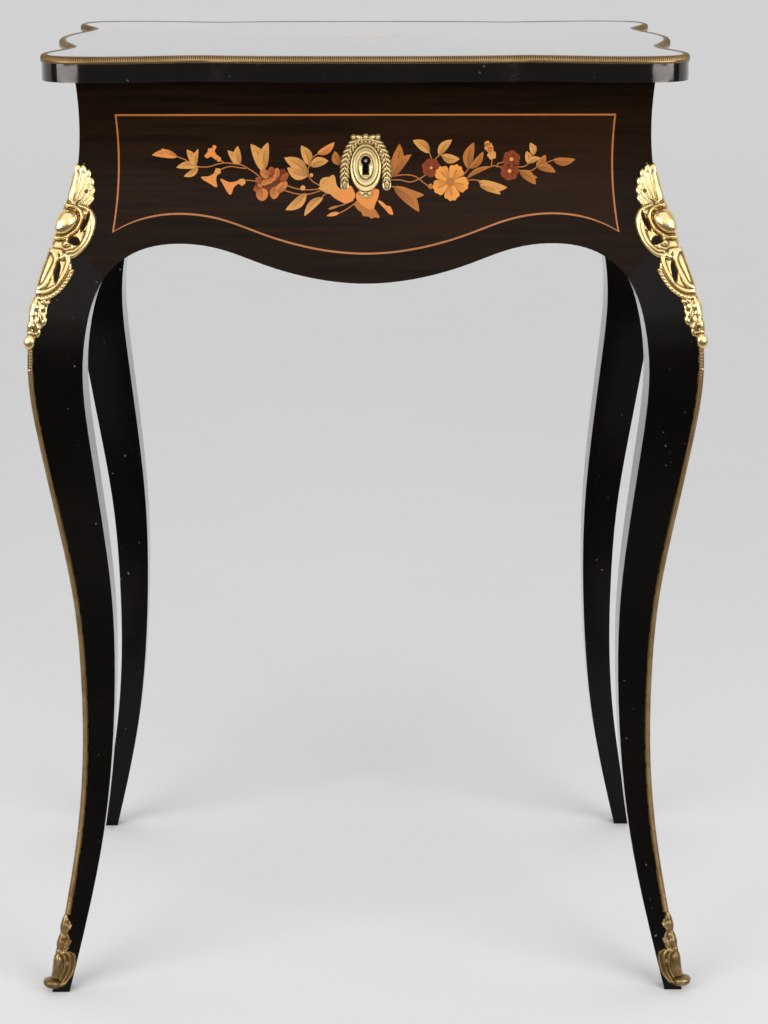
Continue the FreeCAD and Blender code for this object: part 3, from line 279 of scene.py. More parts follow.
# Escutcheon, across and up from the middle of the keyhole, in like rows
SHIELD_HALF = 23.0
SHIELD_TOP = 23.0
SHIELD_FOOT = -31.0
SHIELD_DOMES = (
    (9.2, 18.1, 2.2, 2.2, 3.9), (0, 18.2, 2.4, 2.6, 4.2), (0, -26.2, 1.7, 1.6, 3.0),
    (2.9, -24.2, 1.9, 1.7, 3.2), (0, -23.2, 1.6, 1.2, 2.8), (2.9, 14.5, 1.3, 1.1, 3.0),
    (5.8, 14.1, 1.3, 1.1, 3.0), (0, 14.6, 1.3, 1.1, 3.0),
)
SHIELD_BOW = ((1.6, 17.2, 8.0, 19.0, 3.4, 3.7), (1.8, 16.8, 7.6, 16.6, 2.6, 3.3))
SHIELD_BANDS = (
    (1.1, 2.8, 0, 0, (-1, 16.2), (4, 15.8), (8.4, 15.0)),
    (3.3, 1.0, 0, 0, (8.6, 13.6), (13.1, 7), (15.4, 0.4), (16, -7), (16.1, -13), (16.0, -18.6)),
    (0.7, 2.6, 0, 0, (8.6, 13.6), (13.1, 7), (15.4, 0.4), (16, -7), (16.1, -13), (16.2, -20)),
)
# Stem of the wreath, which carries a pair of leaves at each step
WREATH_PATH = ((7.6, 15.0), (12.0, 9.2), (14.8, 2.6), (15.9, -4.4), (16.1, -11.2), (16.2, -17.8))
SHIELD_PLATES = (
    (1.6, (-1, -21), (4.4, -21.6), (4.8, -24.6), (2.6, -27.2), (-1, -27.8)),
    (1.6, (-1, 12.6), (9.4, 12.2), (11.0, 16), (10.4, 18.6), (6, 18.2), (3, 19), (-1, 19.8)),
)
# Keyhole plate as steps: middle height, half width, half height, rise at its edge, rise at its middle
SHIELD_STEPS = ((-5.1, 12.0, 18.4, 1.9, 2.1), (-4.3, 9.9, 15.0, 2.5, 4.3), (-4.2, 5.9, 10.1, 4.7, 5.1))
# Radius of the keyhole's round part, half width of its slot, foot of its slot
KEYHOLE = (3.2, 1.9, -9.9)

# Profile of the lid's rim: out, up from its top, and how deep the teeth cut there
RIM_PROFILE = (
    (-5.1, -0.6, 0), (-4.5, 0.3, 0), (-3.2, 0.6, 0.25), (-1.9, 0.6, 0.7), (-0.7, 0.25, 0.85),
    (0.2, -0.6, 0.85), (0.6, -1.7, 0.8), (0.65, -2.6, 0.3), (0.5, -3.0, 0), (0.6, -3.4, 0),
    (0.65, -4.4, 0), (0.4, -5.0, 0), (-0.6, -5.0, 0),
)


# Meshes

def add_object(name, data):
    """A new object in the scene."""
    made = bpy.data.objects.new(name, data)
    bpy.context.scene.collection.objects.link(made)
    return made


def show(name, points, faces, body, *nodes, smooth=True):
    """A mesh object that rides on a body and stands for the nodes named."""
    mesh = bpy.data.meshes.new(name)
    mesh.from_pydata([tuple(p) for p in points], [], faces)
    mesh.update()
    mesh.polygons.foreach_set("use_smooth", [smooth] * len(mesh.polygons))
    made = add_object(name, mesh)
    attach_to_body(made, body)
    if nodes:
        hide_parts(*nodes)
    return made


def paint(piece, material):
    piece.data.materials.clear()
    piece.data.materials.append(material)


def attach(piece, name, values, kind="FLOAT", key="value"):
    """Gives each point of a piece a value that its material reads."""
    piece.data.attributes.new(name, kind, "POINT").data.foreach_set(key, values)


def tree_of(*names):
    """One search tree over the world-space faces of several nodes."""
    points = []
    faces = []
    for name in names:
        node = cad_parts[name]
        start = len(points)
        points += [node.matrix_world @ v.co for v in node.data.vertices]
        faces += [[start + i for i in p.vertices] for p in node.data.polygons]
    return BVHTree.FromPolygons(points, faces)


def ray_hits(tree, x, y, levels, way):
    """Where level rays first meet a tree: arrays of height, x and y, in metres."""
    rows = []
    for z in levels:
        hit = tree.ray_cast(Vector((x, y, z)), Vector(way))[0]
        if hit is not None:
            rows.append((z, hit.x, hit.y))
    return np.array(rows).T


def corner_line():
    """The sharp front right edge: arrays of height, x and y, in metres, from the floor up."""
    tree = tree_of("leg_front_right", "front_veneer_border")
    low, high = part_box("leg_front_right")
    beside = 1.5 * MM
    away = 0.1
    levels = np.arange(low[2] + MM, high[2], RAY_STEP)
    z, x, y = ray_hits(tree, high[0] + away - beside, low[1] - away, levels, (-1, 1, 0))
    return z, x + beside, y


def front_line():
    """The curved front face: arrays of height and y, in metres, from low to high."""
    tree = tree_of("front_marquetry_panel", "front_veneer_border")
    low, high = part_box("front_veneer_border")
    beside = 0.06
    levels = np.arange(low[2], high[2], RAY_STEP)
    z, _, y = ray_hits(tree, beside, low[1] - beside, levels, (0, 1, 0))
    return z, y


def smooth_path(points, steps=8):
    """Points of a smooth curve through the points given."""
    p = np.array([points[0], *points, points[-1]], float)
    t = np.linspace(0, 1, steps, endpoint=False)[:, None]
    out = []
    for a, b, c, d in zip(p, p[1:], p[2:], p[3:]):
        bend = (2 * a - 5 * b + 4 * c - d) * t ** 2
        twist = (3 * b - a - 3 * c + d) * t ** 3
        out.append(0.5 * (2 * b + (c - a) * t + bend + twist))
    return np.vstack(out + [p[-1:]])


# Heights of ornament over a flat grid, in millimetres

def band_height(u, v, band):
    """A rounded moulding along a curve, with a groove or beads."""
    half, high, groove, pitch, *points = band
    path = smooth_path(points)
    best = np.full(u.shape, FAR)
    run = np.zeros(u.shape)
    length = 0.0
    for (a, b), (c, d) in zip(path, path[1:]):
        size = math.hypot(c - a, d - b)
        t = np.clip(((u - a) * (c - a) + (v - b) * (d - b)) / size ** 2, 0, 1)
        gap = np.hypot(u - a - t * (c - a), v - b - t * (d - b))
        nearer = gap < best
        best = np.where(nearer, gap, best)
        run = np.where(nearer, length + t * size, run)
        length += size
    share = best / half
    height = high * np.sqrt(np.clip(1 - share ** 2, 0, 1))
    height -= groove * np.exp(-(share / 0.28) ** 2)
    if pitch:
        height *= 0.72 + 0.28 * np.abs(np.cos(math.pi * run / pitch))
    return np.where(share < 1, height, NO_METAL)


def leaf_height(u, v, leaf):
    """A lobed leaf with a vein, from its base to its tip."""
    a, b, c, d, width, high = leaf
    size = math.hypot(c - a, d - b)
    along = ((u - a) * (c - a) + (v - b) * (d - b)) / size ** 2
    across = ((u - a) * (d - b) - (v - b) * (c - a)) / size
    t = np.clip(along, 0.001, 0.999)
    lobes = 1 + 0.16 * np.cos(2 * math.pi * 3.0 * t)
    taper = np.clip((1 - t) * 6, 0, 1) ** 0.5
    half = 0.5 * width * (0.35 + 0.65 * np.sin(math.pi * t ** 0.8)) * taper * lobes
    share = np.abs(across) / np.maximum(half, 0.01)
    swell = 0.55 + 0.45 * np.sin(math.pi * t ** 0.6)
    height = high * swell * np.clip(1 - share ** 2, 0, 1) ** 0.5
    height -= 0.55 * np.exp(-(across / 0.45) ** 2)
    return np.where((share < 1) & (along > -0.02) & (along < 1.02), height, NO_METAL)


def dome_height(u, v, dome):
    """A rounded boss."""
    a, b, wide, tall, high = dome
    share = ((u - a) / wide) ** 2 + ((v - b) / tall) ** 2
    return np.where(share < 1, high * np.sqrt(np.clip(1 - share, 0, 1)) ** 0.8, NO_METAL)


def ring_height(u, v, ring):
    """A rounded ring."""
    a, b, wide, tall, half, high = ring
    share = np.sqrt(((u - a) / wide) ** 2 + ((v - b) / tall) ** 2)
    gap = np.abs(share - 1) * 0.5 * (wide + tall) / half
    return np.where(gap < 1, high * np.sqrt(np.clip(1 - gap ** 2, 0, 1)), NO_METAL)


def outline_depth(u, v, points):
    """How far inside a closed outline each point lies; negative outside."""
    best = np.full(u.shape, FAR)
    inside = np.zeros(u.shape, bool)
    for (a, b), (c, d) in zip(points, points[1:] + points[:1]):
        t = np.clip(((u - a) * (c - a) + (v - b) * (d - b)) / ((c - a) ** 2 + (d - b) ** 2), 0, 1)
        best = np.minimum(best, np.hypot(u - a - t * (c - a), v - b - t * (d - b)))
        if b != d:
            crossing = ((b > v) != (d > v)) & (u < (c - a) * (v - b) / (d - b) + a)
            inside ^= crossing
    return np.where(inside, best, -best)


def plate_height(u, v, plate):
    """A thin ground with a soft edge."""
    high, *points = plate
    depth = outline_depth(u, v, [tuple(p) for p in smooth_path(points + points[:1], 4)[:-1]])
    return np.where(depth > 0, high * np.sqrt(np.clip(depth / 0.8, 0, 1)), NO_METAL)


def open_hole(height, u, v, hole):
    """Cuts an oval opening."""
    a, b, wide, tall, turn = hole
    x = (u - a) * math.cos(turn) + (v - b) * math.sin(turn)
    y = (v - b) * math.cos(turn) - (u - a) * math.sin(turn)
    share = np.sqrt((x / wide) ** 2 + (y / tall) ** 2)
    room = (share - 1) * min(wide, tall) * 2.4
    return np.minimum(height, np.maximum(room, NO_METAL))


def relief(u, v, leaves=(), bands=(), domes=(), rings=(), plates=()):
    """The highest of all the shapes at each point of the grid."""
    height = np.full(u.shape, NO_METAL)
    for shapes, make in ((plates, plate_height), (bands, band_height), (leaves, leaf_height),
                         (domes, dome_height), (rings, ring_height)):
        for shape in shapes:
            height = np.maximum(height, make(u, v, shape))
    return height


def hollow_share(height, step):
    """How deep each point lies below its neighbours, 0 to 1, for grime and painted shade in the recesses."""
    near = height.copy()
    for _ in range(6):
        p = np.pad(near, 1, mode="edge")
        near = (p[:-2, 1:-1] + p[2:, 1:-1] + p[1:-1, :-2] + p[1:-1, 2:] + near) / 5
    return np.clip((near - height) / (1.2 * step), 0, 1)


def relief_mesh(name, place, height, step, body, mirror, *nodes):
    """The mesh of a grid of heights; cells that lie wholly under the wood are left out."""
    rows, columns = height.shape
    points = place(np.maximum(height, SUNK))
    kept = height > LOWEST_KEPT
    cell = kept[:-1, :-1] | kept[1:, :-1] | kept[:-1, 1:] | kept[1:, 1:]
    number = np.arange(rows * columns).reshape(rows, columns)
    corners = np.stack([number[:-1, :-1], number[1:, :-1], number[1:, 1:], number[:-1, 1:]], -1)[cell]
    used, packed = np.unique(corners, return_inverse=True)
    corners = packed.reshape(corners.shape)
    points = points.reshape(-1, 3)[used]
    if mirror:
        points = points * (-1, 1, 1)
    else:
        corners = corners[:, ::-1]
    made = show(name, points, corners.tolist(), body, *nodes)
    attach(made, "hollow", hollow_share(height, step).reshape(-1)[used])
    return made


def corner_place(line, across, level):
    """Maker of points on the front right corner: across is signed round the edge, both in metres."""
    z, x, y = line
    edge_x = np.interp(level, z, x)
    edge_y = np.interp(level, z, y)
    slope = np.interp(level, z, np.gradient(x, z))
    turn = np.clip(np.abs(across) / (4 * MM), 0, 1)
    angle = math.pi / 4 * (1 + np.sign(across) * turn * (2 - turn))
    front = np.maximum(across, 0)
    side = np.maximum(-across, 0)

    def place(height):
        out_x = np.cos(angle)
        out_y = -np.sin(angle)
        out_z = -slope * (out_x - out_y) / (out_x ** 2 + out_y ** 2) ** 0.5
        size = np.sqrt(out_x ** 2 + out_y ** 2 + out_z ** 2)
        h = height * MM / size
        return np.stack([edge_x - front + h * out_x, edge_y + side + h * out_y, level + h * out_z], -1)
    return place


def corner_relief(name, node, half, draw, step, finish, drop=0.0):
    """The right and left copy of an ornament that is drawn in millimetres across and down its node."""
    low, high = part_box(node + "_right")
    across = np.arange(-half, half + step, step)
    down = np.arange(-2.0, (high[2] - low[2]) / MM + 2.0, step)
    v, t = np.meshgrid(down, across, indexing="ij")
    height = draw(np.abs(t), v)
    place = corner_place(corner_line(), t * MM, high[2] - drop * MM - v * MM)
    for side, mirror in (("right", False), ("left", True)):
        piece = relief_mesh(name + "_" + side, place, height, step, "case", mirror, node + "_" + side)
        paint(piece, finish)


def front_place(line, x, level):
    """Maker of points on the front face, from arrays of x and height in metres."""
    z, y = line
    face = np.interp(level, z, y)
    slope = np.interp(level, z, np.gradient(y, z))
    size = np.sqrt(1 + slope ** 2)

    def place(height):
        h = height * MM / size
        return np.stack([x + 0 * h, face - h, level + h * slope], -1)
    return place


def keyhole_gap(x, z):
    """Distance from the keyhole's edge, negative inside it."""
    round_part, half_slot, low = KEYHOLE
    bow = np.hypot(x, z) - round_part
    slot = np.maximum(np.abs(x) - half_slot, np.maximum(low - z, z))
    return np.minimum(bow, slot)


def shield_height(x, z):
    """The escutcheon's relief, in millimetres about the middle of the keyhole."""
    u = np.abs(x)
    leaves = []
    path = smooth_path(WREATH_PATH, 2)
    for index, ((a, b), (c, d)) in enumerate(zip(path, path[1:])):
        size = math.hypot(c - a, d - b)
        along = ((c - a) / size, (d - b) / size)
        spread = 3.7 * min(1.0, 0.4 * (len(path) - 1 - index))
        for side in (-1, 1):
            out = (-along[1] * side, along[0] * side)
            tip = (a + 5.0 * along[0] + spread * out[0], b + 5.0 * along[1] + spread * out[1])
            leaves.append((a, b, *tip, 2.5, 4.0))
    leaves += SHIELD_BOW
    height = relief(u, z, leaves, SHIELD_BANDS, SHIELD_DOMES, (), SHIELD_PLATES)
    for middle, wide, tall, edge, centre in SHIELD_STEPS:
        share = np.sqrt((u / wide) ** 2 + ((z - middle) / tall) ** 2)
        swell = edge + (centre - edge) * np.clip(1 - share, 0, 1) ** 0.7
        roll = 0.55 * np.exp(-((share - 0.93) * wide / 0.7) ** 2)
        step = (swell + roll) * np.sqrt(np.clip((1 - share) * wide / 0.7, 0, 1))
        height = np.where(share < 1, np.maximum(step, np.where(edge < 2.2, 0, height)), height)
    lip = keyhole_gap(x, z)
    height += 0.5 * np.exp(-((lip - 1.3) / 0.6) ** 2) * (lip < 3)
    return np.minimum(height, np.maximum(lip * 5.5, NO_METAL))


# Marquetry: flat pieces that follow a face, each with its own tint and its own length and width

class Inlay:
    """Collects the marquetry of one face and makes it one mesh."""

    def __init__(self, place, low, layer_rise, sunk):
        self.place = place
        self.low = low
        self.layer_rise = layer_rise
        self.sunk = sunk
        self.points = []
        self.faces = []
        self.tints = []
        self.marks = []

    def grid(self, flat, marks, tint, layer):
        """Adds a grid of (x, z) points in millimetres, with its outer edges turned down into the face."""
        around = ((1, 1), (1, 1), (0, 0))
        flat = np.pad(flat, around, mode="edge")
        marks = np.pad(marks, around, mode="edge")
        rows, columns = flat.shape[:2]
        start = len(self.points)
        lift = np.full((rows, columns), self.sunk)
        lift[1:-1, 1:-1] = self.low + self.layer_rise * layer
        self.points += list(self.place(flat.reshape(-1, 2), lift.reshape(-1)))
        self.tints += [TINTS[tint]] * (rows * columns)
        self.marks += marks.reshape(-1, 2).tolist()
        for r in range(rows - 1):
            for c in range(columns - 1):
                a = start + r * columns + c
                self.faces.append((a, a + 1, a + columns + 1, a + columns))

    def blade(self, base, tip, v, u, run, wide, tint, layer):
        """Adds a grid that runs from base to tip; run is a share of that way, wide a distance to its side."""
        along = np.subtract(tip, base)
        side = np.array((-along[1], along[0])) / np.hypot(*along)
        flat = np.array(base) + run[..., None] * along + wide[..., None] * side
        self.grid(flat, np.stack([u + 0 * v, v + 0 * u], -1), tint, layer)

    def leaf(self, row, layer=2, bend=0.09, pointed=0.8):
        a, b, c, d, width, tint = row
        v = np.linspace(0, 1, 10)[:, None]
        u = np.linspace(-1, 1, 5)[None, :]
        half = 0.5 * width * np.sin(math.pi * v ** 0.86) ** pointed + 0.12
        arch = bend * np.hypot(c - a, d - b) * np.sin(math.pi * v)
        self.blade((a, b), (c, d), v, u, v, u * half + arch, tint, layer)

    def stem(self, points, width, tint=2, layer=0):
        path = smooth_path(points, 5)
        run = np.gradient(path, axis=0)
        side = np.stack([-run[:, 1], run[:, 0]], -1) / np.hypot(run[:, 0], run[:, 1])[:, None]
        flat = path[:, None, :] + np.array((-0.5, 0.5))[None, :, None] * width * side[:, None, :]
        v = np.linspace(0.2, 0.4, len(path))
        marks = np.stack([np.tile((0.5, 0.8), (len(path), 1)), np.repeat(v[:, None], 2, 1)], -1)
        self.grid(flat, marks, tint, layer)

    def disc(self, x, z, radius, tint, layer, lobes=0, turn=0.0):
        angle = np.linspace(0, 2 * math.pi, 25)[:, None]
        share = np.linspace(0, 1, 4)[None, :]
        reach = radius * share * (1 + 0.10 * np.cos(lobes * angle + turn))
        flat = np.stack([x + reach * np.cos(angle), z + reach * np.sin(angle)], -1)
        marks = np.stack([0.25 + 0.6 * share + 0 * angle, 0.9 - 0.6 * share + 0 * angle], -1)
        self.grid(flat, marks, tint, layer)

    def petal(self, x, z, reach, radius, angle, tint, layer):
        tip = (x + (reach + radius) * math.cos(angle), z + (reach + radius) * math.sin(angle))
        v = np.linspace(0, 1, 9)[:, None]
        u = np.linspace(-1, 1, 7)[None, :]
        half = radius * np.clip(v * 1.5, 0, 1) ** 0.8 * np.clip((1.06 - v) * 5, 0, 1) ** 0.5 + 0.1
        notch = 1 - 0.10 * (1 - np.abs(u)) ** 2 * v - 0.16 * np.abs(u) ** 3 * v
        self.blade((x, z), tip, v, u, v * notch, u * half, tint, layer)

    def flower(self, row, layer=3):
        x, z, reach, radius, count, turn, tint, middle = row
        for index in range(count):
            angle = math.radians(turn) + 2 * math.pi * index / count
            self.petal(x, z, reach, radius, angle, tint, layer + 0.5 * (index % 2))
        self.disc(x, z, middle, 2 if tint == 4 else 4, layer + 2)

    def bell(self, row, layer=2):
        tint, *points = row
        ring = smooth_path(points + points[:1], 3)
        middle = ring[:-1].mean(axis=0)
        share = np.linspace(0, 1, 4)[None, :, None]
        flat = middle + share * (ring[:, None, :] - middle)
        out = share[..., 0] + 0 * ring[:, :1]
        marks = np.stack([0.2 + 0.6 * out, 0.7 - 0.4 * out], -1)
        self.grid(flat, marks, tint, layer)

    def make(self, name, body):
        made = show(name, self.points, self.faces, body, smooth=False)
        attach(made, "tint", [c for row in self.tints for c in (*row, 1.0)], "FLOAT_COLOR", "color")
        attach(made, "across", [m[0] for m in self.marks])
        attach(made, "along", [m[1] for m in self.marks])
        return made


# Finishes

def shade(colour, share):
    """A colour made darker or lighter."""
    return tuple(min(1.0, share * c) for c in colour)


class Nodes:
    """Adds shader nodes to one tree."""

    def __init__(self, tree):
        self.tree = tree

    def node(self, kind, **sockets):
        made = self.tree.nodes.new(kind)
        for name, value in sockets.items():
            self.put(made.inputs[name.replace("_", " ")], value)
        return made

    def put(self, socket, value):
        if isinstance(value, bpy.types.NodeSocket):
            self.tree.links.new(value, socket)
        elif hasattr(socket.default_value, "__len__") and not isinstance(value, (int, float)):
            size = len(socket.default_value)
            socket.default_value = tuple(value) + (1.0,) * (size - len(value))
        else:
            socket.default_value = value

    def ramp(self, value, low, high, start=0.0, end=1.0):
        made = self.node("ShaderNodeMapRange", Value=value)
        for name, number in zip(("From Min", "From Max", "To Min", "To Max"), (low, high, start, end)):
            made.inputs[name].default_value = number
        return made.outputs[0]

    def mix(self, share, a, b):
        made = self.node("ShaderNodeMix")
        made.data_type = "RGBA"
        for index, value in ((0, share), (6, a), (7, b)):
            self.put(made.inputs[index], value)
        return made.outputs[2]

    def scaled(self, a, b):
        made = self.node("ShaderNodeMath")
        made.operation = "MULTIPLY"
        self.put(made.inputs[0], a)
        self.put(made.inputs[1], b)
        return made.outputs[0]

    def unseen_share(self, glossy):
        """Zero where the camera or clear glass looks at the background, one for the light it gives."""
        path = self.node("ShaderNodeLightPath")
        share = 1.0
        for name, weight in (("Is Camera Ray", 1.0), ("Is Transmission Ray", 1.0), ("Is Glossy Ray", glossy)):
            share = self.scaled(share, self.ramp(path.outputs[name], 0, 1, 1, 1 - weight))
        return share


class Finish(Nodes):
    """A material made of nodes around one principled shader."""

    def __init__(self, name):
        self.material = bpy.data.materials.new(name)
        self.material.use_nodes = True
        super().__init__(self.material.node_tree)
        self.shader = self.tree.nodes["Principled BSDF"]

    def set(self, **sockets):
        for name, value in sockets.items():
            self.put(self.shader.inputs[name.replace("_", " ")], value)

    def where(self, stretch):
        """Object coordinates, stretched by three factors."""
        place = self.node("ShaderNodeTexCoord").outputs["Object"]
        return self.node("ShaderNodeMapping", Vector=place, Scale=stretch).outputs[0]

    def noise(self, stretch, scale, detail=4.0, rough=0.55):
        place = self.where(stretch)
        made = self.node("ShaderNodeTexNoise", Vector=place, Scale=scale, Detail=detail, Roughness=rough)
        return made.outputs["Fac"]

    def attribute(self, name, output="Fac"):
        made = self.node("ShaderNodeAttribute")
        made.attribute_name = name
        return made.outputs[output]

    def bump(self, height, strength):
        made = self.node("ShaderNodeBump", Height=height, Strength=strength, Distance=BUMP_DEPTH)
        self.set(Normal=made.outputs[0])

    def edge_wear(self, radius):
        """One near sharp edges, zero on flat faces."""
        round_over = self.node("ShaderNodeBevel", Radius=radius)
        round_over.samples = 4
        flat = self.node("ShaderNodeNewGeometry")
        made = self.node("ShaderNodeVectorMath")
        made.operation = "DOT_PRODUCT"
        self.put(made.inputs[0], round_over.outputs[0])
        self.put(made.inputs[1], flat.outputs["Normal"])
        return self.ramp(made.outputs["Value"], 0.97, 0.80)


def wood(name, dark, light, axis, rough, coat, pores=0.15, gloss=0.5, right_lightening=0.0):
    """Polished wood with its grain along an axis, lighter towards the right."""
    made = Finish(name)
    grain = made.noise(GRAIN[axis], 9.0, 6.0, 0.62)
    fine = made.noise(GRAIN[axis], 60.0, 3.0)
    cloud = made.noise(EVEN, 6.0, 3.0)
    colour = made.mix(made.ramp(grain, 0.36, 0.66), dark, light)
    colour = made.mix(made.ramp(cloud, 0.35, 0.75, 0, 0.45), colour, dark)
    parts = made.node("ShaderNodeSeparateXYZ", Vector=made.where(EVEN))
    # Lighter towards the right, by position alone
    colour = made.mix(made.ramp(parts.outputs["X"], -0.05, 0.18, 0, right_lightening), colour, light)
    made.set(Base_Color=colour, Roughness=made.ramp(cloud, 0.3, 0.7, rough * 0.8, rough * 1.35))
    made.set(Coat_Weight=coat, Coat_Roughness=rough * 0.7, IOR=1.5, Specular_IOR_Level=gloss)
    made.bump(fine, pores)
    return made.material


def ebonised(name, black, worn, rough, axis, gloss):
    """Black polish over fruitwood, rubbed at the edges and lightly scratched."""
    made = Finish(name)
    cloud = made.noise(EVEN, 14.0, 4.0)
    scratch = made.noise(GRAIN[axis], 45.0, 2.0)
    nick = made.noise(EVEN, 260.0, 2.0)
    brown = made.mix(made.ramp(cloud, 0.4, 0.8, 0.0, 0.06), black, worn)
    wear = made.scaled(made.edge_wear(0.0012), made.ramp(nick, 0.5, 0.68))
    colour = made.mix(made.scaled(wear, 0.7), brown, worn)
    chip = made.ramp(made.noise(EVEN, 240.0, 1.0), 0.77, 0.80, 0.0, 0.8)
    colour = made.mix(chip, colour, CHIP)
    made.set(Base_Color=colour, Roughness=made.ramp(scratch, 0.3, 0.75, rough * 0.75, rough * 1.5))
    facing = made.node("ShaderNodeLayerWeight").outputs["Facing"]
    made.set(Coat_Weight=made.ramp(facing, 0.84, 0.93, 0.8 * gloss, 0.95), Coat_Roughness=rough * 0.6)
    made.set(IOR=1.5, Specular_IOR_Level=made.ramp(facing, 0.84, 0.93, 0.7 * gloss, 1.0))
    made.set(Specular_Tint=WARM_GLOSS)
    made.bump(scratch, 0.06)
    return made.material


def metal(name, bright, dull, rough, hollow_grime_and_painted_shade=False, patches=40.0, shine=1.0):
    """Cast or rolled metal; when asked, darker in its hollows, with grime and painted shade."""
    made = Finish(name)
    patch = made.ramp(made.noise(EVEN, patches, 5.0), 0.35, 0.7)
    speck = made.noise(EVEN, 900.0, 3.0)
    colour = made.mix(patch, bright, dull)
    if hollow_grime_and_painted_shade:
        # Grime and painted shade: the colour turns dark where the hollow value is high
        grime_and_painted_shade = made.ramp(made.attribute("hollow"), 0.03, 0.42)
        colour = made.mix(made.scaled(grime_and_painted_shade, 0.9), colour, GRIME_AND_PAINTED_SHADE)
    made.set(Base_Color=colour, Metallic=shine, Roughness=made.ramp(patch, 0, 1, rough, rough * 1.7))
    made.bump(speck, 0.12)
    return made.material


def marquetry(name, rough, gloss, coat, depth):
    """Inlaid veneers: each piece has its tint, a scorched side, a vein and its own grain."""
    made = Finish(name)
    grain = made.noise(EVEN, 700.0, 3.0)
    across = made.attribute("across")
    along = made.attribute("along")
    tint = made.mix(depth, made.attribute("tint", "Color"), FADED_INLAY)
    dark = made.mix(0.72, tint, SCORCHED)
    scorch = made.scaled(made.ramp(across, 0.25, -0.35), made.ramp(along, 0.9, 0.0, 0.0, 0.75))
    vein = made.node("ShaderNodeMath", Value=across)
    vein.operation = "ABSOLUTE"
    line = made.scaled(made.ramp(vein.outputs[0], 0.16, 0.04), made.ramp(along, 0.78, 0.7))
    colour = made.mix(made.ramp(grain, 0.3, 0.7, 0.0, 0.28), tint, dark)
    colour = made.mix(scorch, colour, dark)
    colour = made.mix(made.scaled(line, 0.7), colour, dark)
    made.set(Base_Color=colour, Roughness=made.ramp(grain, 0.2, 0.8, rough * 0.8, rough * 1.3))
    made.set(Specular_IOR_Level=gloss, Coat_Weight=coat, Coat_Roughness=rough * 0.7)
    return made.material


def looking_glass(name):
    """Old silvered glass with faint spots."""
    made = Finish(name)
    spot = made.ramp(made.noise(EVEN, 120.0, 5.0), 0.66, 0.78, 0.0, 0.6)
    made.set(Base_Color=made.mix(spot, SILVER, SPOT), Metallic=1.0)
    made.set(Roughness=made.ramp(spot, 0, 1, 0.02, 0.3))
    return made.material


def ground(name, colour, room):
    """Pale cloth with painted light and shade: paler far behind the table, and in front of it a darker band
    and, for every ray but the camera's, the room colour as a painted dark reflection and shade.
    """
    made = Finish(name)
    weave = made.noise(EVEN, 900.0, 2.0)
    broad = made.noise(EVEN, 3.0, 3.0)
    darker = shade(colour, 0.95)
    mixed = made.mix(made.ramp(weave, 0.35, 0.65, 0, 0.6), colour, darker)
    mixed = made.mix(made.ramp(broad, 0.3, 0.7, 0, 0.5), mixed, darker)
    depth = made.node("ShaderNodeSeparateXYZ", Vector=made.where(EVEN)).outputs["Y"]
    # Painted light: the floor far behind the table is paler, standing in for lamp light that falls off there
    mixed = made.mix(made.ramp(depth, 1.5, 6.0), mixed, shade(colour, 1.1))
    # Painted shade: a darker band on the floor in front of the table
    near = made.scaled(made.ramp(depth, -0.35, -1.2), made.ramp(depth, -2.6, -1.9))
    mixed = made.mix(near, mixed, shade(colour, 0.6))
    # Painted shade and painted dark reflection: in front of the table every ray but the camera's sees the
    # room colour
    painted_room_shade = made.scaled(made.ramp(depth, -0.35, -0.9), made.unseen_share(0.05))
    made.set(Base_Color=made.mix(painted_room_shade, mixed, room), Roughness=0.95, Specular_IOR_Level=0.1)
    return made.material


# Rim and screws

def lid_outline():
    """The lid's outline, anticlockwise from above, and the length run at each point, in metres."""
    tree = tree_of("lid_board")
    low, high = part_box("lid_board")
    level = 0.45 * low[2] + 0.55 * high[2]
    found = []
    for angle in np.linspace(0, 2 * math.pi, OUTLINE_RAYS, endpoint=False):
        way = Vector((math.cos(angle), math.sin(angle), 0))
        hit = tree.ray_cast(Vector((0, 0, level)) + way, -way)[0]
        found.append((hit.x, hit.y))
    ring = np.array(found + found[:1])
    run = np.concatenate([[0], np.cumsum(np.hypot(*np.diff(ring, axis=0).T))])
    return ring, run


def rim_mesh(pitch, parts=4):
    """The gadrooned brass rim: a profile swept round the lid with one tooth per pitch."""
    outline, run = lid_outline()
    count = int(round(run[-1] / pitch)) * parts
    at = np.linspace(0, run[-1], count, endpoint=False)
    ring = np.stack([np.interp(at, run, outline[:, k]) for k in (0, 1)], -1)
    way = np.roll(ring, -2, 0) - np.roll(ring, 2, 0)
    out = np.stack([way[:, 1], -way[:, 0]], -1) / np.hypot(way[:, 0], way[:, 1])[:, None]
    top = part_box("lid_rim")[1][2]
    tooth = 0.5 - 0.5 * np.cos(2 * math.pi * np.arange(count) / parts)
    points = []
    for reach, rise, cut in RIM_PROFILE:
        depth = (reach - cut * tooth) * MM
        level = top + (rise - 0.7 * cut * tooth) * MM
        points.append(np.column_stack([ring + out * depth[:, None], level]))
    faces = []
    for r in range(len(points) - 1):
        for c in range(count):
            n = (c + 1) % count
            faces.append((r * count + c, (r + 1) * count + c, (r + 1) * count + n, r * count + n))
    # Grime and painted shade: the grooves between the teeth darken by their depth, the inner edge by the
    # lid's top gets 0.9 as painted shade for the dark line where the rim meets the top, and the rest gets 0.3
    grime_and_painted_shade = [tooth if cut else np.full(count, 0.9 if reach < -4 else 0.3) for reach, _, cut in RIM_PROFILE]
    return np.vstack(points), faces, np.concatenate(grime_and_painted_shade)


def screw_places(node):
    """The middles of a node's screws, seen from above."""
    found = []
    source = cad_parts[node]
    for vertex in source.data.vertices:
        p = source.matrix_world @ vertex.co
        near = [group for group in found if math.dist(group[0], (p.x, p.y)) < SCREWS_APART]
        if near:
            near[0].append((p.x, p.y))
        else:
            found.append([(p.x, p.y)])
    return [tuple(0.5 * (np.max(g, axis=0) + np.min(g, axis=0))) for g in found]


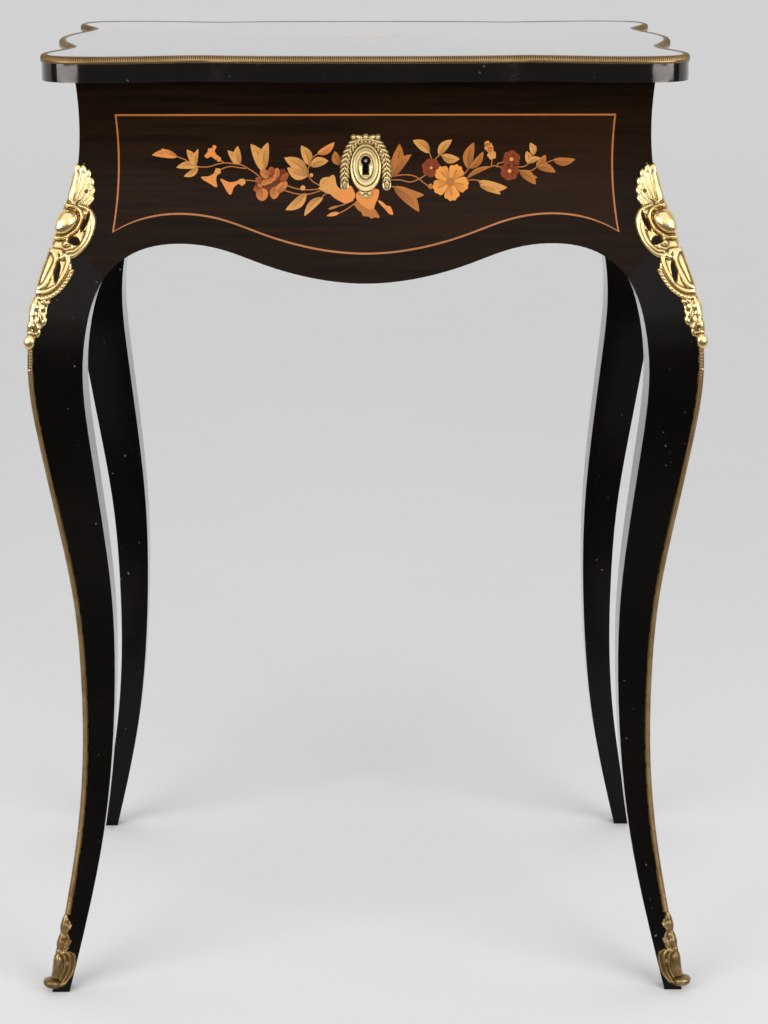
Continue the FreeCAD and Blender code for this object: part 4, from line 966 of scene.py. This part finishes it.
def screw_mesh(places, level, up, radius, turn_step=0.7, steps=12):
    """Slotted flush heads: two half rounds with their slot walls, and the floor of the slot."""
    half, deep = 0.16 * radius, 0.3 * radius
    rim = math.asin(half / radius)
    points = []
    faces = []
    for index, (x, y) in enumerate(places):
        turn = turn_step * (index + 1)
        for side in (0, math.pi):
            start = len(points)
            for depth in (0, deep):
                for k in range(steps + 1):
                    a = side + rim + (math.pi - 2 * rim) * k / steps + turn
                    place = (x + radius * math.cos(a), y + up * radius * math.sin(a), level - up * depth)
                    points.append(place)
            faces.append(tuple(start + k for k in range(steps + 1)))
            faces.append((start, start + steps, start + 2 * steps + 1, start + steps + 1))
        start = len(points)
        for end, wall in ((-1, -1), (1, -1), (1, 1), (-1, 1)):
            a, b = end * radius * math.cos(rim), wall * half
            px = x + a * math.cos(turn) - b * math.sin(turn)
            py = y + up * (a * math.sin(turn) + b * math.cos(turn))
            points.append((px, py, level - up * deep))
        faces.append((start, start + 1, start + 2, start + 3))
    return points, faces


# Settings

def length(label, words, value):
    return FloatProperty(name=label, description=words, default=value, unit="LENGTH")


def colour(label, words, value):
    return FloatVectorProperty(
        name=label, description=words, default=value, size=3, subtype="COLOR", min=0, max=1,
    )


class DressingTableSettings(PropertyGroup):
    """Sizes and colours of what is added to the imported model."""

    relief_step: length("Relief step", "Spacing of the points of the cast mounts", 0.0005)
    strip_half: length("Strip half width", "How far the brass strip reaches round the edge", 0.0027)
    strip_bead: length("Strip bead", "Spacing of the beads on the brass strip", 0.0024)
    nail_spacing: length("Nail spacing", "Distance between the nails of the brass strip", 0.055)
    rim_pitch: length("Rim pitch", "Spacing of the teeth of the lid's rim", 0.0016)
    stem_width: length("Stem width", "Width of the inlaid stems", 0.0008)
    box_width: length("Softbox width", "Width of the two softboxes", 1.6)
    box_height: length("Softbox height", "Height of the two softboxes", 1.3)
    black: colour("Black", "Ebonised wood", (0.0022, 0.0020, 0.0018))
    rubbed: colour("Rubbed", "Wood that shows where the black is worn", (0.050, 0.026, 0.015))
    rosewood: colour("Rosewood", "Dark figure of the veneer", (0.0105, 0.0055, 0.0030))
    rosewood_light: colour("Rosewood light", "Light figure of the veneer", (0.030, 0.0125, 0.0050))
    inside: colour("Inside", "Dark figure of the wood inside", (0.12, 0.055, 0.024))
    inside_light: colour("Inside light", "Light figure of the wood inside", (0.25, 0.125, 0.055))
    inlay: colour("Inlay", "The thin inlaid lines", (0.42, 0.125, 0.022))
    inlay_light: colour("Inlay light", "Light grain of the inlaid lines", (0.54, 0.19, 0.042))
    gilt: colour("Gilt", "Bright gilding", (0.88, 0.68, 0.33))
    gilt_dull: colour("Gilt dull", "Rubbed gilding", (0.68, 0.48, 0.20))
    brass: colour("Brass", "Old brass", (0.52, 0.37, 0.19))
    brass_dull: colour("Brass dull", "Tarnished brass", (0.30, 0.19, 0.09))
    worn: colour("Worn brass", "Brass of the feet and of the edge strips", (0.40, 0.285, 0.135))
    worn_dull: colour("Worn brass dull", "Tarnish of the feet and of the edge strips", (0.20, 0.113, 0.044))
    steel: colour("Steel", "Lock steel", (0.42, 0.41, 0.40))
    floor: colour("Floor", "Pale studio floor", (0.90, 0.90, 0.90))
    # Also painted on the floor in front of the table, as shade and as a dark reflection
    room: colour("Room", "The darker room in front of the table", (0.07, 0.07, 0.073))


class DRESSINGTABLE_OT_finishes(Operator):
    """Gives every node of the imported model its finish"""

    bl_idname = "dressing_table.finishes"
    bl_label = "Finishes"

    def execute(self, context):
        chosen = context.scene.dressing_table
        figure = (chosen.rosewood, chosen.rosewood_light)
        black = {
            axis: ebonised("ebonised_" + axis, chosen.black, chosen.rubbed, 0.2, axis, 0.13)
            for axis in "xyz"
        }
        edge = ebonised("ebonised_edge", chosen.black, chosen.rubbed, 0.095, "x", 1.0)
        side = wood("rosewood_side", *figure, "y", 0.2, 0.0, 0.15, 0.07)
        panel = wood("rosewood_panel", *figure, "x", 0.2, 0.0, 0.15, 0.07, 0.6)
        darker = (shade(colour, 0.7) for colour in figure)
        border = wood("rosewood_border", *darker, "x", 0.2, 0.0, 0.15, 0.07)
        top = wood("rosewood_top", *figure, "x", 0.10, 0.4, 0.04)
        inlay = wood("inlay_line", chosen.inlay, chosen.inlay_light, "x", 0.3, 0.2)
        inner = {
            axis: wood("inner_" + axis, chosen.inside, chosen.inside_light, axis, 0.45, 0.1, 0.3)
            for axis in "xy"
        }
        brass = metal("hinge_brass", chosen.gilt_dull, chosen.brass, 0.28)
        steel = metal("lock_steel", chosen.steel, shade(chosen.steel, 0.5), 0.32)
        # The pin's pale colour is partly a painted highlight
        pin = metal("pin_steel", PIN_STEEL_AND_HIGHLIGHT, PIN_STEEL_AND_HIGHLIGHT_DULL, 0.3, shine=0.4)
        iron = metal("lock_iron", shade(chosen.steel, 0.12), shade(chosen.steel, 0.07), 0.45)
        worn = metal("pin_worn", chosen.worn, chosen.worn_dull, 0.3)
        gilt = metal("pin_gilt", chosen.gilt, chosen.gilt_dull, 0.2)
        glass = looking_glass("mirror_glass")
        # The first start of a name that fits gives the finish
        rules = (
            ("leg_", black["z"]), ("front_apron", black["x"]), ("rear_apron", black["x"]),
            ("left_apron", black["y"]), ("right_apron", black["y"]), ("lid_board", edge),
            ("front_stringing", inlay), ("left_stringing", inlay), ("right_stringing", inlay),
            ("front_veneer", border), ("front_", panel), ("left_", side), ("right_", side),
            ("lid_top", top), ("bottom_", inner["x"]), ("partition", inner["y"]), ("mirror_glass", glass),
            ("mirror_frame_left", black["y"]), ("mirror_frame_right", black["y"]),
            ("mirror_frame", black["x"]), ("hinge_", brass), ("lock_case", iron), ("lock_drill", pin),
            ("lock_", steel), ("strike_", steel), ("sabot_", worn), ("arris_", worn), ("mount_", worn),
            ("", gilt),
        )
        for name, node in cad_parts.items():
            finish = next(made for start, made in rules if name.startswith(start))
            node.data.materials.clear()
            node.data.materials.append(finish)
        return {"FINISHED"}


class DRESSINGTABLE_OT_front_marquetry(Operator):
    """Inlays the spray of flowers and leaves on the front"""

    bl_idname = "dressing_table.front_marquetry"
    bl_label = "Front marquetry"

    def execute(self, context):
        chosen = context.scene.dressing_table
        line = front_line()

        def place(flat, lift):
            return front_place(line, (flat[:, 0] + SPRAY_SHIFT) * MM, flat[:, 1] * MM)(lift)
        spray = Inlay(place, *FRONT_LAYERS)
        for points in STEMS:
            spray.stem(points, chosen.stem_width / MM)
        for index, row in enumerate(LEAVES):
            spray.leaf(row, 1 + 0.2 * (index % 4), 0.09 if index % 2 else -0.09)
        for index, row in enumerate(BELLS):
            spray.bell(row, 2 + 0.1 * index)
        for row in FLOWERS:
            spray.flower(row)
        for index, row in enumerate(PETALS):
            spray.leaf(row, 3 + 0.25 * index, 0.0, 0.5)
        for x, z, radius, tint, layer in DISCS:
            spray.disc(x, z, radius, tint, layer, 5, x)
        piece = spray.make("front_marquetry_spray", "case")
        paint(piece, marquetry("front_marquetry", 0.28, 0.2, 0.0, 0.0))
        return {"FINISHED"}


class DRESSINGTABLE_OT_lid_marquetry(Operator):
    """Inlays a small bouquet in the middle of the lid"""

    bl_idname = "dressing_table.lid_marquetry"
    bl_label = "Lid marquetry"

    def execute(self, context):
        chosen = context.scene.dressing_table
        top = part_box("lid_top_veneer")[1][2]

        def place(flat, lift):
            return np.column_stack([flat * MM, top + lift * MM])
        bouquet = Inlay(place, *LID_LAYERS)
        sprigs = 12
        for turn in range(sprigs):
            angle = 2 * math.pi * turn / sprigs + 0.13
            wide, deep = math.cos(angle), math.sin(angle)
            tint = (0, 2, 1)[turn % 3]
            stem = ((8 * wide, 8 * deep), (22 * wide, 24 * deep), (30 * wide + 3, 40 * deep))
            bouquet.stem(stem, chosen.stem_width / MM)
            outer = (20 * wide, 24 * deep, 40 * wide - 4 * deep, 56 * deep + 4 * wide)
            bouquet.leaf((*outer, 9.0, tint), 1.4)
            inner = (14 * wide, 17 * deep, 30 * wide + 7 * deep, 40 * deep - 7 * wide)
            bouquet.leaf((*inner, 8.0, tint), 1.0, -0.09)
        bouquet.flower((0, 0, 9.0, 6.0, 5, 18, 4, 3.2), 4)
        for x, y, tint in ((-16, 14, 3), (17, 12, 5), (14, -17, 3), (-17, -13, 5)):
            bouquet.flower((x, y, 5.2, 3.6, 6, 10 * x, tint, 1.6), 3)
        piece = bouquet.make("lid_marquetry_bouquet", "lid")
        paint(piece, marquetry("lid_marquetry", 0.1, 0.5, 0.4, 0.8))
        return {"FINISHED"}


class DRESSINGTABLE_OT_chutes(Operator):
    """Casts the two corner mounts in relief"""

    bl_idname = "dressing_table.chutes"
    bl_label = "Corner mounts"

    def execute(self, context):
        chosen = context.scene.dressing_table
        step = chosen.relief_step / MM

        def draw(u, v):
            height = relief(u, v, CHUTE_LEAVES, CHUTE_BANDS, CHUTE_DOMES, CHUTE_RINGS, CHUTE_PLATES)
            for hole in CHUTE_HOLES:
                height = open_hole(height, u, v, hole)
            return height
        finish = metal("gilt_relief", chosen.gilt, chosen.gilt_dull, 0.16, True, shine=0.92)
        corner_relief("chute_relief", "chute", CHUTE_REACH, draw, step, finish, CHUTE_DROP)
        return {"FINISHED"}


class DRESSINGTABLE_OT_sabots(Operator):
    """Casts the two foot mounts in relief"""

    bl_idname = "dressing_table.sabots"
    bl_label = "Foot mounts"

    def execute(self, context):
        chosen = context.scene.dressing_table
        step = chosen.relief_step / MM

        def draw(u, v):
            return relief(u, v, SABOT_LEAVES, SABOT_BANDS, SABOT_DOMES, (), SABOT_PLATES)
        bright, dull = shade(chosen.worn, 0.8), shade(chosen.worn_dull, 0.6)
        finish = metal("worn_relief", bright, dull, 0.24, True, 110.0)
        corner_relief("sabot_relief", "sabot", SABOT_REACH, draw, step, finish)
        return {"FINISHED"}


class DRESSINGTABLE_OT_strips(Operator):
    """Makes the beaded brass strips of the front edges, with their nails"""

    bl_idname = "dressing_table.strips"
    bl_label = "Brass strips"

    def execute(self, context):
        chosen = context.scene.dressing_table
        low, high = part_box("arris_strip_right")
        half, bead, nail = chosen.strip_half / MM, chosen.strip_bead / MM, chosen.nail_spacing / MM
        length_mm = (high[2] - low[2]) / MM
        step = 0.6

        def draw(u, v):
            rope = 0.5 + 0.5 * np.cos(2 * math.pi * (v + 0.6 * u) / bead)
            height = 0.9 + (0.35 + 0.35 * rope) * np.exp(-((u - 1.5) / 0.8) ** 2)
            height = np.where(u < half - 0.3, height, NO_METAL)
            from_nail = (v + 9) % nail - nail / 2
            nails = 1.7 * np.sqrt(np.clip(1 - (from_nail ** 2 + (u / 1.2) ** 2) / 1.5, 0, 1))
            inside = (v > 0) & (v < length_mm)
            return np.where(inside, np.maximum(height, nails), NO_METAL)
        finish = metal("strip_brass", chosen.worn, chosen.worn_dull, 0.3, True, 60.0)
        corner_relief("strip_relief", "arris_strip", half, draw, step, finish)
        return {"FINISHED"}


class DRESSINGTABLE_OT_escutcheon(Operator):
    """Casts the keyhole escutcheon with its wreath and bow"""

    bl_idname = "dressing_table.escutcheon"
    bl_label = "Escutcheon"

    def execute(self, context):
        chosen = context.scene.dressing_table
        low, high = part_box("lock_drill_pin")
        middle = 0.5 * (low[2] + high[2])
        step = 0.7 * chosen.relief_step / MM
        x = np.arange(-SHIELD_HALF, SHIELD_HALF + step, step)
        z = np.arange(SHIELD_TOP, SHIELD_FOOT, -step)
        up, across = np.meshgrid(z, -x, indexing="ij")
        height = shield_height(across, up)
        place = front_place(front_line(), across * MM, middle + up * MM)
        nodes = ("escutcheon", "escutcheon_pins")
        piece = relief_mesh("escutcheon_relief", place, height, step, "case", False, *nodes)
        finish = metal("escutcheon_gilt", shade(chosen.gilt, 1.12), chosen.gilt_dull, 0.17, True, shine=0.45)
        paint(piece, finish)
        return {"FINISHED"}


class DRESSINGTABLE_OT_rim(Operator):
    """Makes the gadrooned brass rim of the lid"""

    bl_idname = "dressing_table.rim"
    bl_label = "Lid rim"

    def execute(self, context):
        chosen = context.scene.dressing_table
        points, faces, grime_and_painted_shade = rim_mesh(chosen.rim_pitch)
        piece = show("lid_rim_gadroon", points, faces, "lid", "lid_rim")
        # The hollow values give the rim its grime and painted shade
        attach(piece, "hollow", grime_and_painted_shade)
        paint(piece, metal("rim_brass", chosen.brass, chosen.brass_dull, 0.25, True, 25.0))
        return {"FINISHED"}


class DRESSINGTABLE_OT_screws(Operator):
    """Makes the slotted screws of the hinges and of the lock"""

    bl_idname = "dressing_table.screws"
    bl_label = "Screws"

    def execute(self, context):
        chosen = context.scene.dressing_table
        brass = metal("screw_brass", chosen.gilt_dull, chosen.brass, 0.3)
        steel = metal("screw_steel", chosen.steel, shade(chosen.steel, 0.5), 0.35)
        rows = (
            ("hinge_case_screws", "case", 1, brass, "hinge_brass"),
            ("hinge_lid_screws", "lid", -1, brass, "hinge_brass"),
            ("lock_screws", "case", 1, steel, "lock_steel"),
            ("strike_screws", "lid", -1, steel, "lock_steel"),
        )
        for node, body, up, finish, slot in rows:
            low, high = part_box(node)
            level = high[2] if up > 0 else low[2]
            heads = screw_mesh(screw_places(node), level, up, SCREW_RADIUS)
            piece = show(node + "_slotted", *heads, body, node, smooth=False)
            paint(piece, finish)
        return {"FINISHED"}


class DRESSINGTABLE_OT_stage(Operator):
    """Sets the pale floor, the soft lights and the camera"""

    bl_idname = "dressing_table.stage"
    bl_label = "Stage"

    def execute(self, context):
        chosen = context.scene.dressing_table
        context.scene.view_settings.view_transform = "Standard"
        self.floor(chosen)
        for name, side in (("left_softbox", -1), ("right_softbox", 1)):
            self.softbox(name, side, chosen)
        self.sky()
        self.world(chosen)
        self.camera(context.scene)
        return {"FINISHED"}

    def floor(self, chosen):
        mesh = bpy.data.meshes.new("floor")
        corners = [(x * FLOOR_REACH, y * FLOOR_REACH, 0) for x, y in ((-1, -1), (1, -1), (1, 1), (-1, 1))]
        mesh.from_pydata(corners, [], [(0, 1, 2, 3)])
        mesh.materials.append(ground("floor", chosen.floor, chosen.room))
        add_object("floor", mesh)

    def softbox(self, name, side, chosen):
        data = bpy.data.lights.new(name, "AREA")
        data.shape = "RECTANGLE"
        data.size, data.size_y = chosen.box_width, chosen.box_height
        data.energy = SOFTBOX_POWER
        made = add_object(name, data)
        made.location = Vector(SOFTBOX_PLACE) * Vector((side, 1, 1))
        made.rotation_euler = (Vector(SOFTBOX_AIM) - made.location).to_track_quat("-Z", "Y").to_euler()

    def sky(self):
        data = bpy.data.lights.new("overhead", "SUN")
        data.energy = SKY_POWER
        data.angle = SKY_SPREAD
        made = add_object("overhead", data)
        made.rotation_euler = (SKY_TILT, 0, 0)

    def world(self, chosen):
        """A pale studio, a darker room in front of the table, and an even backdrop for the camera."""
        world = bpy.data.worlds.new("studio")
        bpy.context.scene.world = world
        world.use_nodes = True
        made = Nodes(world.node_tree)
        way = made.node("ShaderNodeTexCoord").outputs["Generated"]
        depth = made.node("ShaderNodeSeparateXYZ", Vector=way).outputs["Y"]
        front = made.scaled(made.ramp(depth, -0.25, 0.35, 1.0, 0.0), made.unseen_share(0.6))
        light = made.mix(front, STUDIO, chosen.room)
        seen = made.node("ShaderNodeLightPath").outputs["Is Camera Ray"]
        made.put(made.tree.nodes["Background"].inputs["Color"], made.mix(seen, light, BACKDROP))

    def camera(self, scene):
        data = bpy.data.cameras.new("camera")
        data.sensor_fit = "VERTICAL"
        data.sensor_height = SENSOR_HEIGHT
        data.lens = CAMERA_LENS
        scene.camera = add_object("camera", data)
        scene.camera.location = CAMERA_PLACE
        scene.camera.rotation_euler = CAMERA_TURN


STEPS = (
    DRESSINGTABLE_OT_finishes, DRESSINGTABLE_OT_front_marquetry, DRESSINGTABLE_OT_lid_marquetry,
    DRESSINGTABLE_OT_chutes, DRESSINGTABLE_OT_sabots, DRESSINGTABLE_OT_strips,
    DRESSINGTABLE_OT_escutcheon, DRESSINGTABLE_OT_rim, DRESSINGTABLE_OT_screws, DRESSINGTABLE_OT_stage,
)


class DRESSINGTABLE_PT_panel(Panel):
    """The operators and settings of the dressing table"""

    bl_idname = "DRESSINGTABLE_PT_panel"
    bl_label = "Dressing table"
    bl_space_type = "VIEW_3D"
    bl_region_type = "UI"
    bl_category = "Dressing table"

    def draw(self, context):
        for step in STEPS:
            self.layout.operator(step.bl_idname)
        for name in DressingTableSettings.__annotations__:
            self.layout.prop(context.scene.dressing_table, name)


CLASSES = (DressingTableSettings, *STEPS, DRESSINGTABLE_PT_panel)


def register():
    for made in CLASSES:
        bpy.utils.register_class(made)
    bpy.types.Scene.dressing_table = PointerProperty(type=DressingTableSettings)


def unregister():
    del bpy.types.Scene.dressing_table
    for made in reversed(CLASSES):
        bpy.utils.unregister_class(made)


def main():
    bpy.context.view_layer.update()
    register()
    bpy.ops.dressing_table.finishes()
    bpy.ops.dressing_table.front_marquetry()
    bpy.ops.dressing_table.lid_marquetry()
    bpy.ops.dressing_table.chutes()
    bpy.ops.dressing_table.sabots()
    bpy.ops.dressing_table.strips()
    bpy.ops.dressing_table.escutcheon()
    bpy.ops.dressing_table.rim()
    bpy.ops.dressing_table.screws()
    bpy.ops.dressing_table.stage()


if __name__ == "__main__":
    main()
